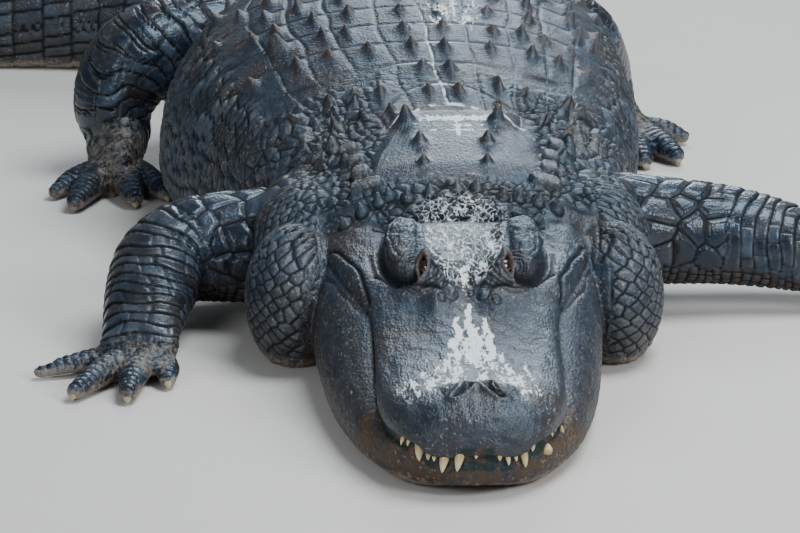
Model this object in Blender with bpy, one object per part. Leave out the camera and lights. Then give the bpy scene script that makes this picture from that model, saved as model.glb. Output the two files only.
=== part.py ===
"""An adult male American alligator at rest, life size, as a still model.

It lies on the floor z = 0 with its chin, belly and tail down. The snout points along -Y, +Z is up, and the
animal's right side is -X. Every length is in metres. A station s is the distance from the snout tip along the
body. In front of the hips the body is straight and y = s + SNOUT_Y; behind them the tail bends to the right.
"""

import math

import bmesh
import bpy
import numpy as np
from mathutils import Matrix, Vector

# Driving dimensions
TOTAL_LENGTH = 4.0
SNOUT_Y = -1.35
GAP = 0.0003
CUT_GAP = 0.0005

# Where the body is divided, as stations
NECK_FRONT = 0.572
NECK_REAR = 0.905
TORSO_REAR = 1.93
TAIL_CUTS = (1.93, 2.36, 2.86, 3.38, 4.0)
HEAD_REAR = 0.63

# The tail's bend: where it starts and ends, and the heading after it
BEND_START = 1.70
BEND_END = 2.92
BEND_DEG = 90.0
TIP_TURN_DEG = -38.0

# Body stations: s, half width, height of the back, height of the widest level, sideways shift, lean of the top
BODY = np.array([
    (0.45, 0.165, 0.180, 0.085, 0.000, 0.05),
    (0.57, 0.200, 0.204, 0.100, 0.000, 0.05),
    (0.66, 0.226, 0.222, 0.108, 0.000, 0.05),
    (0.78, 0.244, 0.246, 0.118, 0.000, 0.05),
    (0.90, 0.262, 0.272, 0.126, -0.006, 0.06),
    (1.02, 0.296, 0.304, 0.134, -0.024, 0.07),
    (1.15, 0.330, 0.336, 0.138, -0.046, 0.09),
    (1.28, 0.346, 0.358, 0.140, -0.063, 0.11),
    (1.42, 0.346, 0.368, 0.140, -0.066, 0.12),
    (1.56, 0.318, 0.358, 0.142, -0.048, 0.09),
    (1.70, 0.264, 0.332, 0.144, -0.022, 0.05),
    (1.82, 0.218, 0.304, 0.142, -0.004, 0.02),
    (1.94, 0.184, 0.280, 0.134, 0.000, 0.00),
    (2.15, 0.152, 0.248, 0.116, 0.000, 0.00),
    (2.45, 0.124, 0.216, 0.100, 0.000, 0.00),
    (2.75, 0.100, 0.186, 0.086, 0.000, 0.00),
    (3.05, 0.077, 0.154, 0.070, 0.000, 0.00),
    (3.35, 0.054, 0.119, 0.054, 0.000, 0.00),
    (3.65, 0.033, 0.083, 0.038, 0.000, 0.00),
    (3.88, 0.016, 0.050, 0.023, 0.000, 0.00),
    (4.00, 0.005, 0.026, 0.012, 0.000, 0.00),
])
BELLY_SINK = 0.012
UPPER_POWER = 0.86
LOWER_POWER = 0.62

# Dorsal plates: rows along the back, with each plate's keel and outer edge as a share of the half width
PLATE_START = 0.918
PLATE_PITCH = 0.0625
PLATE_KEELS = (0.075, 0.270, 0.455, 0.620)
PLATE_EDGES = (0.170, 0.365, 0.545, 0.700)
PLATE_RISE = 0.005
KEEL_RISE = (0.019, 0.024, 0.026, 0.024)

# Tail whorls: pitch, and the double crest that becomes single
WHORL_PITCH = 0.0538
CREST_MERGE = 3.16
CREST_RISE = 0.040
CREST_HALF_THICK = 0.007

# Head stations: s, half width at the lip, lip height, crown height, power of the cross-section
HEAD = np.array([
    (0.000, 0.030, 0.063, 0.070, 2.2),
    (0.006, 0.058, 0.060, 0.086, 2.4),
    (0.018, 0.084, 0.057, 0.100, 2.6),
    (0.040, 0.104, 0.055, 0.112, 2.8),
    (0.075, 0.116, 0.053, 0.117, 3.0),
    (0.120, 0.120, 0.055, 0.115, 3.3),
    (0.180, 0.121, 0.062, 0.114, 3.5),
    (0.250, 0.126, 0.061, 0.121, 3.3),
    (0.320, 0.133, 0.062, 0.135, 3.0),
    (0.375, 0.143, 0.066, 0.148, 2.8),
    (0.420, 0.152, 0.074, 0.160, 2.8),
    (0.480, 0.165, 0.086, 0.168, 2.9),
    (0.540, 0.175, 0.098, 0.168, 3.0),
    (0.590, 0.178, 0.106, 0.163, 3.0),
    (0.630, 0.172, 0.110, 0.156, 3.0),
])
HEAD_SHIFT = 0.001
HEAD_LEAN = 0.05

# Lower jaw stations: s, half width at its widest level
JAW = np.array([
    (0.003, 0.030),
    (0.012, 0.058),
    (0.030, 0.086),
    (0.060, 0.109),
    (0.100, 0.128),
    (0.150, 0.144),
    (0.220, 0.160),
    (0.300, 0.172),
    (0.400, 0.182),
    (0.500, 0.190),
    (0.580, 0.188),
    (0.630, 0.178),
])
JAW_WIDE_LEVEL = 0.032
EYE_AT = (0.052, 0.395, 0.178)
EYE_RADIUS = 0.0235
NOSTRIL_AT = (0.0255, 0.078)
TABLE_TOP = 0.203
TABLE_HALF = 0.100

SKIN = (0.055, 0.062, 0.070)
COLOURS = {
    "skin": (SKIN, 0.50),
    "jaw": ((0.075, 0.078, 0.072), 0.55),
    "leg": ((0.040, 0.052, 0.072), 0.40),
    "eye": ((0.030, 0.018, 0.012), 0.12),
    "claw": ((0.36, 0.30, 0.20), 0.45),
}


def hermite(table, column, s):
    """A column of a station table at s, on a smooth curve through the stations."""
    xs, ys = table[:, 0], table[:, column]
    s = np.clip(s, xs[0], xs[-1])
    slope = np.gradient(ys, xs)
    i = np.clip(np.searchsorted(xs, s, side="right") - 1, 0, len(xs) - 2)
    h = xs[i + 1] - xs[i]
    t = (s - xs[i]) / h
    return (
        (2 * t**3 - 3 * t**2 + 1) * ys[i]
        + (t**3 - 2 * t**2 + t) * h * slope[i]
        + (-2 * t**3 + 3 * t**2) * ys[i + 1]
        + (t**3 - t**2) * h * slope[i + 1]
    )


def ease(x, low, high):
    """0 below low, 1 above high, smooth between."""
    t = np.clip((x - low) / (high - low), 0, 1)
    return t * t * (3 - 2 * t)


def heading(s):
    """The direction of the spine in the floor plane, in radians from +X."""
    turn = BEND_DEG * ease(s, BEND_START, BEND_END) + TIP_TURN_DEG * ease(s, BEND_END, TOTAL_LENGTH)
    return np.radians(90 + turn)


PATH_S = np.linspace(0, TOTAL_LENGTH, 2001)
_step = PATH_S[1] - PATH_S[0]
_mid = heading(PATH_S[:-1] + _step / 2)
PATH_X = np.concatenate([[0], np.cumsum(np.cos(_mid) * _step)])
PATH_Y = np.concatenate([[0], np.cumsum(np.sin(_mid) * _step)]) + SNOUT_Y


def body_point(s, phi, rise=0.0, across=0.0):
    """A point of the trunk or tail. phi is 0 at the midline of the back, positive to +X, and pi under the belly.

    rise lifts it from the surface, and across moves it sideways.
    """
    half, back, wide, shift, lean = (hermite(BODY, c, s) for c in range(1, 6))
    side, up = math.sin(phi), math.cos(phi)
    x = half * math.copysign(abs(side) ** UPPER_POWER, side)
    if up >= 0:
        z = wide + (back - wide) * up**UPPER_POWER
    else:
        x = half * math.copysign(abs(side) ** LOWER_POWER, side)
        z = wide - (wide + BELLY_SINK) * (-up) ** LOWER_POWER
    x += rise * side + across
    z = max(0.0, z + rise * up)
    x += shift + lean * z
    a = heading(s)
    return Vector((
        float(np.interp(s, PATH_S, PATH_X) + math.sin(a) * x),
        float(np.interp(s, PATH_S, PATH_Y) - math.cos(a) * x),
        float(z),
    ))


def phi_of(share):
    """The angle at which the section reaches this share of its half width, on the back."""
    return math.copysign(math.asin(abs(share) ** (1 / UPPER_POWER)), share)


def material(kind):
    """The material of one kind of surface, made once."""
    found = bpy.data.materials.get(kind)
    if found:
        return found
    colour, roughness = COLOURS[kind]
    made = bpy.data.materials.new(kind)
    made.use_nodes = True
    shader = made.node_tree.nodes["Principled BSDF"]
    shader.inputs["Base Color"].default_value = (*colour, 1)
    shader.inputs["Roughness"].default_value = roughness
    made.diffuse_color = (*colour, 1)
    return made


def make(name, points, faces, kind):
    """A mesh object from points and faces, its normals turned out."""
    mesh = bpy.data.meshes.new(name)
    mesh.from_pydata([tuple(p) for p in points], [], faces)
    obj = bpy.data.objects.new(name, mesh)
    bpy.context.scene.collection.objects.link(obj)
    mesh.materials.append(material(kind))
    tidy = bmesh.new()
    tidy.from_mesh(mesh)
    bmesh.ops.recalc_face_normals(tidy, faces=tidy.faces)
    bmesh.ops.triangulate(tidy, faces=tidy.faces)
    tidy.to_mesh(mesh)
    tidy.free()
    return obj


def loft(name, rings, kind):
    """A closed solid through rings of equal count. An end ring of one point is a tip, and any other end is a flat cap."""
    points, faces, starts = [], [], []
    for ring in rings:
        starts.append(len(points))
        points.extend(ring)
    for i in range(len(rings) - 1):
        a, b = starts[i], starts[i + 1]
        n, m = len(rings[i]), len(rings[i + 1])
        for j in range(max(n, m)):
            k = (j + 1) % max(n, m)
            if n == 1:
                faces.append((a, b + j, b + k))
            elif m == 1:
                faces.append((a + j, b, a + k))
            else:
                faces.append((a + j, a + k, b + k, b + j))
    if len(rings[0]) > 1:
        faces.append(tuple(range(len(rings[0]))))
    if len(rings[-1]) > 1:
        faces.append(tuple(range(starts[-1], starts[-1] + len(rings[-1]))))
    return make(name, points, faces, kind)


def bake(obj):
    """Replaces the object's mesh by what its modifiers give."""
    graph = bpy.context.evaluated_depsgraph_get()
    mesh = bpy.data.meshes.new_from_object(obj.evaluated_get(graph))
    obj.modifiers.clear()
    obj.data = mesh


def keep_largest(obj):
    """Drops every closed surface of the mesh but the one with the largest volume."""
    work = bmesh.new()
    work.from_mesh(obj.data)
    work.faces.ensure_lookup_table()
    seen, groups = set(), []
    for face in work.faces:
        if face.index in seen:
            continue
        group, stack = [], [face]
        seen.add(face.index)
        while stack:
            f = stack.pop()
            group.append(f)
            for edge in f.edges:
                for other in edge.link_faces:
                    if other.index not in seen:
                        seen.add(other.index)
                        stack.append(other)
        groups.append(group)
    if len(groups) > 1:
        def volume(group):
            return sum(
                f.verts[0].co.dot(f.verts[i].co.cross(f.verts[i + 1].co))
                for f in group
                for i in range(1, len(f.verts) - 1)
            )
        groups.sort(key=volume)
        bmesh.ops.delete(work, geom=[f for g in groups[:-1] for f in g], context="FACES")
        loose = [v for v in work.verts if not v.link_faces]
        bmesh.ops.delete(work, geom=loose, context="VERTS")
        work.to_mesh(obj.data)
    work.free()


def fuse(pieces, solver="MANIFOLD"):
    """One closed body from several that overlap. It keeps the first piece's name."""
    body, others = pieces[0], pieces[1:]
    group = bpy.data.collections.new("fused")
    bpy.context.scene.collection.children.link(group)
    for piece in others:
        group.objects.link(piece)
    join = body.modifiers.new("join", "BOOLEAN")
    join.operation = "UNION"
    join.operand_type = "COLLECTION"
    join.collection = group
    join.solver = solver
    bake(body)
    for piece in others:
        bpy.data.objects.remove(piece)
    bpy.data.collections.remove(group)
    keep_largest(body)
    return body


def grown(obj, by=CUT_GAP):
    """A copy of the object with its surface moved out by a little, to cut with."""
    copy = obj.copy()
    copy.data = obj.data.copy()
    bpy.context.scene.collection.objects.link(copy)
    normals = [v.normal.copy() for v in copy.data.vertices]
    for vertex, normal in zip(copy.data.vertices, normals):
        vertex.co += normal * by
    return copy


def cut(obj, cutters, solver="MANIFOLD", remove=True):
    """Takes the cutters out of the object, and the cutters out of the scene."""
    for cutter in cutters:
        away = obj.modifiers.new("cut", "BOOLEAN")
        away.operation = "DIFFERENCE"
        away.object = cutter
        away.solver = solver
        bake(obj)
        if remove:
            bpy.data.objects.remove(cutter)
    keep_largest(obj)
    return obj


def floor_block():
    """A block under the floor, which cuts a foot flat."""
    low, high, deep = -3.0, 3.0, -0.3
    corners = [(x, y, z) for z in (deep, 0.0) for x, y in ((low, low), (high, low), (high, high), (low, high))]
    faces = [(0, 1, 2, 3), (4, 5, 6, 7), (0, 1, 5, 4), (1, 2, 6, 5), (2, 3, 7, 6), (3, 0, 4, 7)]
    return make("floor_block", corners, faces, "skin")


def spline(points, steps):
    """Points on a smooth curve through the given rows, with steps to each span."""
    p = np.asarray(points, float)
    ends = np.vstack([2 * p[0] - p[1], p, 2 * p[-1] - p[-2]])
    out = []
    for i in range(1, len(ends) - 2):
        a, b, c, d = ends[i - 1 : i + 3]
        for k in range(steps):
            t = k / steps
            out.append(0.5 * (2 * b + (c - a) * t + (2 * a - 5 * b + 4 * c - d) * t**2 + (3 * b - a - 3 * c + d) * t**3))
    out.append(p[-1])
    return np.array(out)


def limb(name, stations, kind="leg", sides=12, steps=2, reference=(0, 0, 1), round_ends=(True, True)):
    """A limb segment: stations are x, y, z, half width and half height. Round ends close in a dome."""
    rows = spline(stations, steps)
    tangents = np.gradient(rows[:, :3], axis=0)
    rings = []
    last = len(rows) - 1
    for i, (row, tangent) in enumerate(zip(rows, tangents)):
        ahead = Vector(tangent).normalized()
        side = ahead.cross(Vector(reference)).normalized()
        up = side.cross(ahead)
        half, tall = row[3], row[4]
        domes = [(0.0, 1.0)]
        if i == 0 and round_ends[0]:
            domes = [(-0.75, 0.45), (-0.45, 0.80), (0.0, 1.0)]
        if i == last and round_ends[1]:
            domes = [(0.0, 1.0), (0.45, 0.80), (0.75, 0.45)]
        for along, scale in domes:
            centre = Vector(row[:3]) + ahead * along * min(half, tall)
            rings.append([
                centre + side * half * scale * math.cos(a) + up * tall * scale * math.sin(a)
                for a in (2 * math.pi * k / sides for k in range(sides))
            ])
    return loft(name, rings, kind)


def cone(name, root, tip, radius, kind, sides=6, bend=(0, 0, 0), flat=1.0):
    """A tapered tooth or claw from its root's centre to its tip, bowed by bend at half way."""
    root, tip, bend = Vector(root), Vector(tip), Vector(bend)
    ahead = (tip - root).normalized()
    side = ahead.cross(Vector((0.13, 0.27, 0.95))).normalized()
    up = side.cross(ahead)
    rings = []
    for share, scale in ((0.0, 1.0), (0.55, 0.72)):
        centre = root.lerp(tip, share) + bend * 4 * share * (1 - share)
        rings.append([
            centre + side * radius * scale * math.cos(a) + up * radius * flat * scale * math.sin(a)
            for a in (2 * math.pi * k / sides for k in range(sides))
        ])
    rings.append([tip])
    return loft(name, rings, kind)


def ball(name, centre, radii, kind, sides=16, rows=9, floor=False):
    """An ellipsoid. With floor, what would lie under the floor is flat on it."""
    rings = [[Vector(centre) + Vector((0, radii[1], 0))]]
    for i in range(1, rows):
        a = math.pi * i / rows
        rings.append([
            Vector(centre) + Vector((
                radii[0] * math.sin(a) * math.cos(b),
                radii[1] * math.cos(a),
                radii[2] * math.sin(a) * math.sin(b),
            ))
            for b in (2 * math.pi * k / sides for k in range(sides))
        ])
    rings.append([Vector(centre) - Vector((0, radii[1], 0))])
    if floor:
        rings = [[Vector((p.x, p.y, max(0.0, p.z))) for p in ring] for ring in rings]
    return loft(name, rings, kind)


def head_top(x, s):
    """The height of the head's upper surface at half-breadth x, with its eye humps, table and nostril dome."""
    half, lip, crown, power = (hermite(HEAD, c, s) for c in range(1, 5))
    r = min(abs(x) / half, 1.0)
    z = lip + (crown - lip) * (1 - r**power) ** (1 / power)
    ax = abs(x)
    inner = 1 - ease(r, 0.80, 1.0)
    nostril = math.exp(-((ax - 0.018) / 0.030) ** 2 - ((s - 0.078) / 0.030) ** 2)
    table = (1 - ease(ax, TABLE_HALF - 0.016, TABLE_HALF + 0.012)) * ease(s, 0.400, 0.435) * (1 - ease(s, 0.572, 0.60))
    lobe = math.exp(-((ax - 0.056 - 0.20 * (s - 0.40)) / 0.024) ** 2)
    brow = math.exp(-((ax - 0.056) / 0.031) ** 2 - ((s - 0.408) / 0.040) ** 2)
    ridge = math.exp(-((ax - 0.026) / 0.013) ** 2 - ((s - 0.345) / 0.032) ** 2)
    joint = math.exp(-((ax - 0.140) / 0.030) ** 2 - ((s - 0.575) / 0.060) ** 2)
    z += inner * (0.009 * nostril + 0.039 * brow + 0.008 * ridge + 0.012 * joint)
    z += table * (TABLE_TOP - 0.008 + 0.012 * lobe - z) * inner
    return z


def head_ring(s, bottom=0.0006):
    """The outline of the upper head at station s, from the right lip over the top to the left, then the palate."""
    half, lip = hermite(HEAD, 1, s), hermite(HEAD, 2, s)
    tops = [math.sin(math.pi / 2 * k / 11) for k in range(-11, 12)]
    ring = [Vector((half * t, s + SNOUT_Y, head_top(half * t, s))) for t in tops]
    ring += [Vector((half * t, s + SNOUT_Y, lip - 0.004)) for t in (0.985, 0.5, -0.5, -0.985)]
    return [Vector((p.x + HEAD_SHIFT + HEAD_LEAN * p.z, p.y, p.z)) for p in ring]


HEAD_STATIONS = (
    0.0, 0.004, 0.011, 0.022, 0.038, 0.056, 0.072, 0.088, 0.11, 0.145, 0.185, 0.225, 0.262, 0.292, 0.318,
    0.342, 0.362, 0.382, 0.404, 0.428, 0.46, 0.50, 0.54, 0.568, 0.588, 0.605, HEAD_REAR,
)


def jaw_ring(s):
    """The outline of the lower jaw at station s: flat on the floor, widest low down, and narrower at the lip."""
    wide = hermite(JAW, 1, s)
    half, lip = hermite(HEAD, 1, s), hermite(HEAD, 2, s) - 0.004 - CUT_GAP
    nose = 1 - ease(s, 0.0, 0.06)
    foot = 0.022 * nose
    rim = min(half * 0.97, wide * 0.99)
    outline = [
        (0.0, foot), (0.45 * wide, foot), (0.78 * wide, foot), (0.93 * wide, 0.010 + 0.6 * foot),
        (wide, JAW_WIDE_LEVEL), (0.6 * wide + 0.4 * rim, 0.45 * JAW_WIDE_LEVEL + 0.55 * lip), (rim, lip),
        (0.5 * rim, lip - 0.002),
    ]
    ring = [Vector((x, s + SNOUT_Y, z)) for x, z in outline]
    ring += [Vector((0, s + SNOUT_Y, lip - 0.002))]
    ring += [Vector((-x, s + SNOUT_Y, z)) for x, z in reversed(outline[1:])]
    return [Vector((p.x + HEAD_SHIFT + HEAD_LEAN * p.z, p.y, p.z)) for p in ring]


# Teeth that show: station along the lip's plan angle, in degrees from straight ahead to the animal's left,
# whether it hangs from the upper jaw, its length, its radius and its lean out
TEETH = (
    (-62, True, 0.013, 0.0045), (-50, True, 0.011, 0.0040), (-44, False, 0.022, 0.0065), (-36, True, 0.012, 0.0045),
    (-28, True, 0.012, 0.0050), (-19, True, 0.022, 0.0068), (-7, True, 0.024, 0.0068), (3, True, 0.010, 0.0040),
    (11, True, 0.010, 0.0040), (19, True, 0.013, 0.0048), (27, True, 0.011, 0.0042), (34, True, 0.022, 0.0068),
    (43, True, 0.014, 0.0050), (54, False, 0.021, 0.0066), (60, True, 0.010, 0.0040), (68, False, 0.020, 0.0060),
)


def lip_point(angle):
    """The point of the upper lip at this plan angle round the snout's front, and the direction out from it."""
    centre = 0.105
    a = math.radians(angle)
    low, high = 0.0, 0.25
    for _ in range(40):
        r = (low + high) / 2
        s = centre - r * math.cos(a)
        inside = s > 0 and r * abs(math.sin(a)) < hermite(HEAD, 1, max(s, 0.0))
        low, high = (r, high) if inside else (low, r)
    s = centre - r * math.cos(a)
    out = Vector((math.sin(a), -math.cos(a), 0))
    lip = float(hermite(HEAD, 2, s))
    x = r * math.sin(a)
    return Vector((x + HEAD_SHIFT + HEAD_LEAN * lip, s + SNOUT_Y, lip)), out


def teeth(upper):
    """The teeth that show on one jaw, each with its root in the lip."""
    made = []
    for angle, hangs, length, radius in TEETH:
        if hangs != upper:
            continue
        lip, out = lip_point(angle)
        way = -1 if upper else 1
        root = lip - out * 0.004 + Vector((0, 0, -way * 0.002 - (0 if upper else 0.014)))
        tip = root + Vector((0, 0, way * length)) + out * length * 0.35
        made.append(cone("tooth", root, tip, radius, "claw"))
    return made


def eye_centre(side):
    x, s, z = EYE_AT
    return Vector((side * x + HEAD_SHIFT + HEAD_LEAN * z, s + SNOUT_Y, z))


def build_head():
    """The upper head with its teeth, eyelids, nostrils and ear slits, and an eye on each side.

    It also gives the plain head grown a little, to cut the neck with.
    """
    head = loft("head", [head_ring(s) for s in HEAD_STATIONS], "skin")
    shell = grown(head)
    pieces = [head] + teeth(upper=True)
    for side in (-1, 1):
        centre = eye_centre(side)
        upper_lid = ball("lid", centre + Vector((side * 0.002, 0.008, 0.010)), (0.026, 0.036, 0.020), "skin", 10, 6)
        lower_lid = ball("lid", centre + Vector((side * 0.008, -0.002, -0.014)), (0.022, 0.034, 0.013), "skin", 10, 6)
        pieces += [upper_lid, lower_lid]
    head = fuse(pieces)
    cutters = []
    for side in (-1, 1):
        centre = eye_centre(side)
        slit = ball("slit", centre + Vector((side * 0.020, -0.016, -0.003)), (0.015, 0.022, 0.0075), "skin", 8, 6)
        cutters.append(slit)
        x, s = NOSTRIL_AT
        nostril = Vector((side * x + HEAD_SHIFT + HEAD_LEAN * 0.12, s + SNOUT_Y, float(head_top(x, s)) + 0.001))
        slot = ball("nostril", (0, 0, 0), (0.0055, 0.016, 0.012), "skin", 8, 6)
        slot.data.transform(Matrix.Translation(nostril) @ Matrix.Rotation(side * math.radians(38), 4, "Z"))
        cutters.append(slot)
        ear = Vector((side * (TABLE_HALF + 0.004) + HEAD_SHIFT + HEAD_LEAN * 0.18, 0.475 + SNOUT_Y, 0.183))
        cutters.append(ball("ear", ear, (0.010, 0.045, 0.004), "skin", 8, 6))
    cut(head, cutters)
    eyes = []
    for side, word in ((-1, "right"), (1, "left")):
        eye = ball(f"eye_{word}", eye_centre(side), (EYE_RADIUS,) * 3, "eye", 12, 8)
        cut(head, [grown(eye)])
        eyes.append(eye)
    return head, shell


def build_jaw(head):
    """The lower jaw with the teeth that stand up from it, and the plain jaw grown a little."""
    stations = [s for s in HEAD_STATIONS if s > 0.003]
    jaw = loft("lower_jaw", [jaw_ring(s) for s in stations], "jaw")
    shell = grown(jaw)
    cut(jaw, [grown(head)])
    lower = teeth(upper=False)
    cutter = grown(head)
    for tooth in lower:
        cut(tooth, [cutter], remove=False)
    bpy.data.objects.remove(cutter)
    return fuse([jaw] + lower), shell


def keel(name, s, share, length, width, rise, kind="skin"):
    """A keeled scute: a low plate with a ridge that peaks towards the rear, its base sunk in the surface."""
    phi = phi_of(share)
    half = float(hermite(BODY, 1, s))
    spread = width / half
    sink = -0.006
    ends = [s - length / 2, s + length / 2]
    base = [body_point(e, phi_of(share + d * spread / 2), sink) for e in ends for d in (-1, 1)]
    rim = [body_point(s + (e - s) * 0.9, phi_of(share + d * spread / 2 * 0.9), 0.003) for e in ends for d in (-1, 1)]
    ridge = [body_point(s - length * 0.22, phi, rise * 0.62), body_point(s + length * 0.20, phi, rise)]
    points = base + rim + ridge
    faces = [
        (0, 1, 3, 2), (0, 1, 5, 4), (1, 3, 7, 5), (3, 2, 6, 7), (2, 0, 4, 6),
        (4, 5, 8), (5, 7, 9), (5, 9, 8), (7, 6, 9), (6, 4, 8), (6, 8, 9),
    ]
    return make(name, points, faces, kind)


def neck_scutes():
    """The nape's big keeled scutes in pairs, the rows beside them, and the small spikes behind the head."""
    made = []
    pairs = ((0.735, 0.185, 0.050, 0.044, 0.020), (0.795, 0.190, 0.058, 0.050, 0.027), (0.862, 0.235, 0.068, 0.058, 0.032))
    for s, share, length, width, rise in pairs:
        for side in (-1, 1):
            made.append(keel("scute", s, side * share, length, width, rise))
    beside = ((0.80, 0.62, 0.044, 0.038, 0.020), (0.845, 0.66, 0.044, 0.040, 0.022), (0.755, 0.60, 0.036, 0.034, 0.018))
    for s, share, length, width, rise in beside:
        for side in (-1, 1):
            made.append(keel("scute", s, side * share, length, width, rise))
    spikes = 4
    for k in range(spikes):
        share = 0.10 + 0.17 * k
        for side in (-1, 1):
            made.append(keel("scute", 0.668 - 0.006 * k, side * share, 0.026, 0.022, 0.016))
    return made


# Two rolls of flesh on each side of the neck: x, station and z of the centre, then the radii
JOWLS = (
    ((0.200, 0.628, 0.090), (0.079, 0.126, 0.110)),
    ((0.158, 0.690, 0.138), (0.090, 0.112, 0.086)),
)


def plain_rings(start, end, count, sides=28):
    """Rings of the body's own section between two stations."""
    angles = [2 * math.pi * (k + 0.5) / sides for k in range(sides)]
    return [[body_point(s, a if a <= math.pi else a - 2 * math.pi) for a in angles] for s in np.linspace(start, end, count)]


def build_neck(shells):
    """The neck with its jowls and scutes, cut clear of the head and the lower jaw."""
    neck = loft("neck", plain_rings(NECK_FRONT, NECK_REAR - GAP, 9), "skin")
    jowls = [
        ball("jowl", (side * x, s + SNOUT_Y, z), radii, "skin", 16, 10, floor=True)
        for (x, s, z), radii in JOWLS
        for side in (-1, 1)
    ]
    neck = fuse([neck] + jowls + neck_scutes())
    return cut(neck, shells)


def torso_ring(s, row, place):
    """One ring of the torso. place is 0 at a plate's front edge, 1 at its keel's peak and 2 at its rear edge."""
    ring = []
    keel_share = (0.35, 1.0, 0.25)[place]
    plate = (0.2, 1.0, 0.9)[place]
    near = 1.0 - 0.45 * float(ease(s, 1.55, TORSO_REAR))
    for side in (1, -1):
        half_ring = []
        edge = 0.0
        for k, (peak, outer) in enumerate(zip(PLATE_KEELS, PLATE_EDGES)):
            alternate = 0.92 + 0.16 * ((row * 3 + k * 5 + (side > 0)) % 4) / 3
            rise = KEEL_RISE[k] * keel_share * alternate * near
            if k > 0:
                half_ring.append((edge, 0.0))
            half_ring.append((peak, PLATE_RISE * plate + rise))
            edge = outer
        half_ring.append((edge, 0.0))
        upper = [(phi_of(side * share), rise) for share, rise in half_ring]
        flank = [(side * math.radians(d), 0.0) for d in (56, 72, 88, 108, 135, 165)]
        ring.append(upper + flank)
    right, left = ring
    loop = [(0.0, PLATE_RISE * plate * 0.3)] + right + [(math.pi, 0.0)] + left[::-1]
    return [body_point(s, phi, rise) for phi, rise in loop]


def build_torso():
    """The torso with its rows of keeled plates, one row to each length of PLATE_PITCH."""
    start, end = NECK_REAR, TORSO_REAR - GAP
    rings = [torso_ring(start, 0, 0)]
    row, s = 0, PLATE_START
    while s < end - PLATE_PITCH:
        for place, share in ((0, 0.04), (1, 0.66), (2, 0.94)):
            rings.append(torso_ring(s + share * PLATE_PITCH, row, place))
        row += 1
        s += PLATE_PITCH
    rings.append(torso_ring(end, row, 0))
    return loft("torso", rings, "skin")


def tail_ring(s, peak):
    """One ring of the tail. peak is how far the crest stands here, from 0 between whorls to 1 at a blade's tip."""
    half = float(hermite(BODY, 1, s))
    merge = float(ease(s, CREST_MERGE - 0.45, CREST_MERGE))
    grow = float(ease(s, 1.80, 2.75))
    fade = 1 - 0.75 * float(ease(s, 3.55, TOTAL_LENGTH))
    rise = CREST_RISE * (0.30 + 0.70 * grow) * fade * peak
    place = (0.62 - 0.30 * grow) * (1 - merge) + 0.001
    blade = min(CREST_HALF_THICK, 0.30 * half) / half
    gap = max(place - blade, 0.0)
    right = [(gap, 0.0), (place, rise), (place + blade, 0.0)]
    if merge > 0.98:
        right = [(0.004, rise), (0.5 * blade, rise * 0.5), (blade, 0.0)]
    flank = [(math.radians(d), 0.0) for d in (62, 90, 118, 150)]
    loop = []
    for side in (1, -1):
        upper = [(phi_of(side * min(share, 0.96)), r) for share, r in right]
        loop.append(upper + [(side * a, r) for a, r in flank])
    ring = [(0.0, 0.0 if merge < 0.98 else rise)] + loop[0] + [(math.pi, 0.0)] + loop[1][::-1]
    return [body_point(s, phi, r) for phi, r in ring]


def build_tail():
    """The tail in lengths, its crest of one blade to a whorl on each side, then one on the midline."""
    made = []
    for number, (start, end) in enumerate(zip(TAIL_CUTS, TAIL_CUTS[1:]), 1):
        last = number == len(TAIL_CUTS) - 1
        stop = end if last else end - GAP
        count = max(2, round((end - start) / WHORL_PITCH))
        pitch = (end - start) / count
        rings = []
        for k in range(count):
            rings.append(tail_ring(start + k * pitch, 0.0))
            rings.append(tail_ring(start + (k + 0.70) * pitch, 1.0))
        rings.append(tail_ring(stop - (0.002 if last else 0.0), 0.0))
        made.append(loft(f"tail_{number}", rings, "skin"))
    return made


# Limbs, from the trunk out: x, y, z, half width and half height at each station
ARM_RIGHT = [(-0.150, -0.500, 0.125, 0.085, 0.078), (-0.250, -0.520, 0.122, 0.078, 0.074), (-0.345, -0.525, 0.124, 0.070, 0.070)]
FOREARM_RIGHT = [
    (-0.375, -0.520, 0.118, 0.062, 0.064), (-0.400, -0.610, 0.088, 0.064, 0.056),
    (-0.412, -0.690, 0.062, 0.058, 0.046), (-0.418, -0.755, 0.044, 0.052, 0.036),
]
HAND_RIGHT = [(-0.418, -0.745, 0.036, 0.052, 0.034), (-0.424, -0.800, 0.026, 0.058, 0.026), (-0.430, -0.836, 0.020, 0.046, 0.020)]
FINGERS_RIGHT = (
    ((-0.395, -0.800, 0.022), (-0.382, -0.836, 0.018), (-0.380, -0.872, 0.013), 0.017, True),
    ((-0.415, -0.815, 0.024), (-0.424, -0.870, 0.020), (-0.431, -0.935, 0.014), 0.019, True),
    ((-0.440, -0.812, 0.024), (-0.468, -0.862, 0.020), (-0.500, -0.922, 0.014), 0.019, True),
    ((-0.455, -0.790, 0.022), (-0.500, -0.806, 0.017), (-0.552, -0.822, 0.010), 0.014, False),
    ((-0.452, -0.772, 0.022), (-0.492, -0.776, 0.016), (-0.530, -0.784, 0.010), 0.013, False),
)
ARM_LEFT = [(0.150, -0.500, 0.124, 0.085, 0.078), (0.270, -0.496, 0.124, 0.076, 0.072), (0.385, -0.484, 0.116, 0.066, 0.066)]
FOREARM_LEFT = [
    (0.400, -0.482, 0.112, 0.062, 0.062), (0.480, -0.488, 0.092, 0.064, 0.060),
    (0.560, -0.500, 0.066, 0.054, 0.048), (0.632, -0.522, 0.044, 0.050, 0.036),
]
HAND_LEFT = [(0.622, -0.520, 0.038, 0.050, 0.034), (0.680, -0.545, 0.026, 0.058, 0.026), (0.716, -0.562, 0.020, 0.046, 0.020)]
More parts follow.
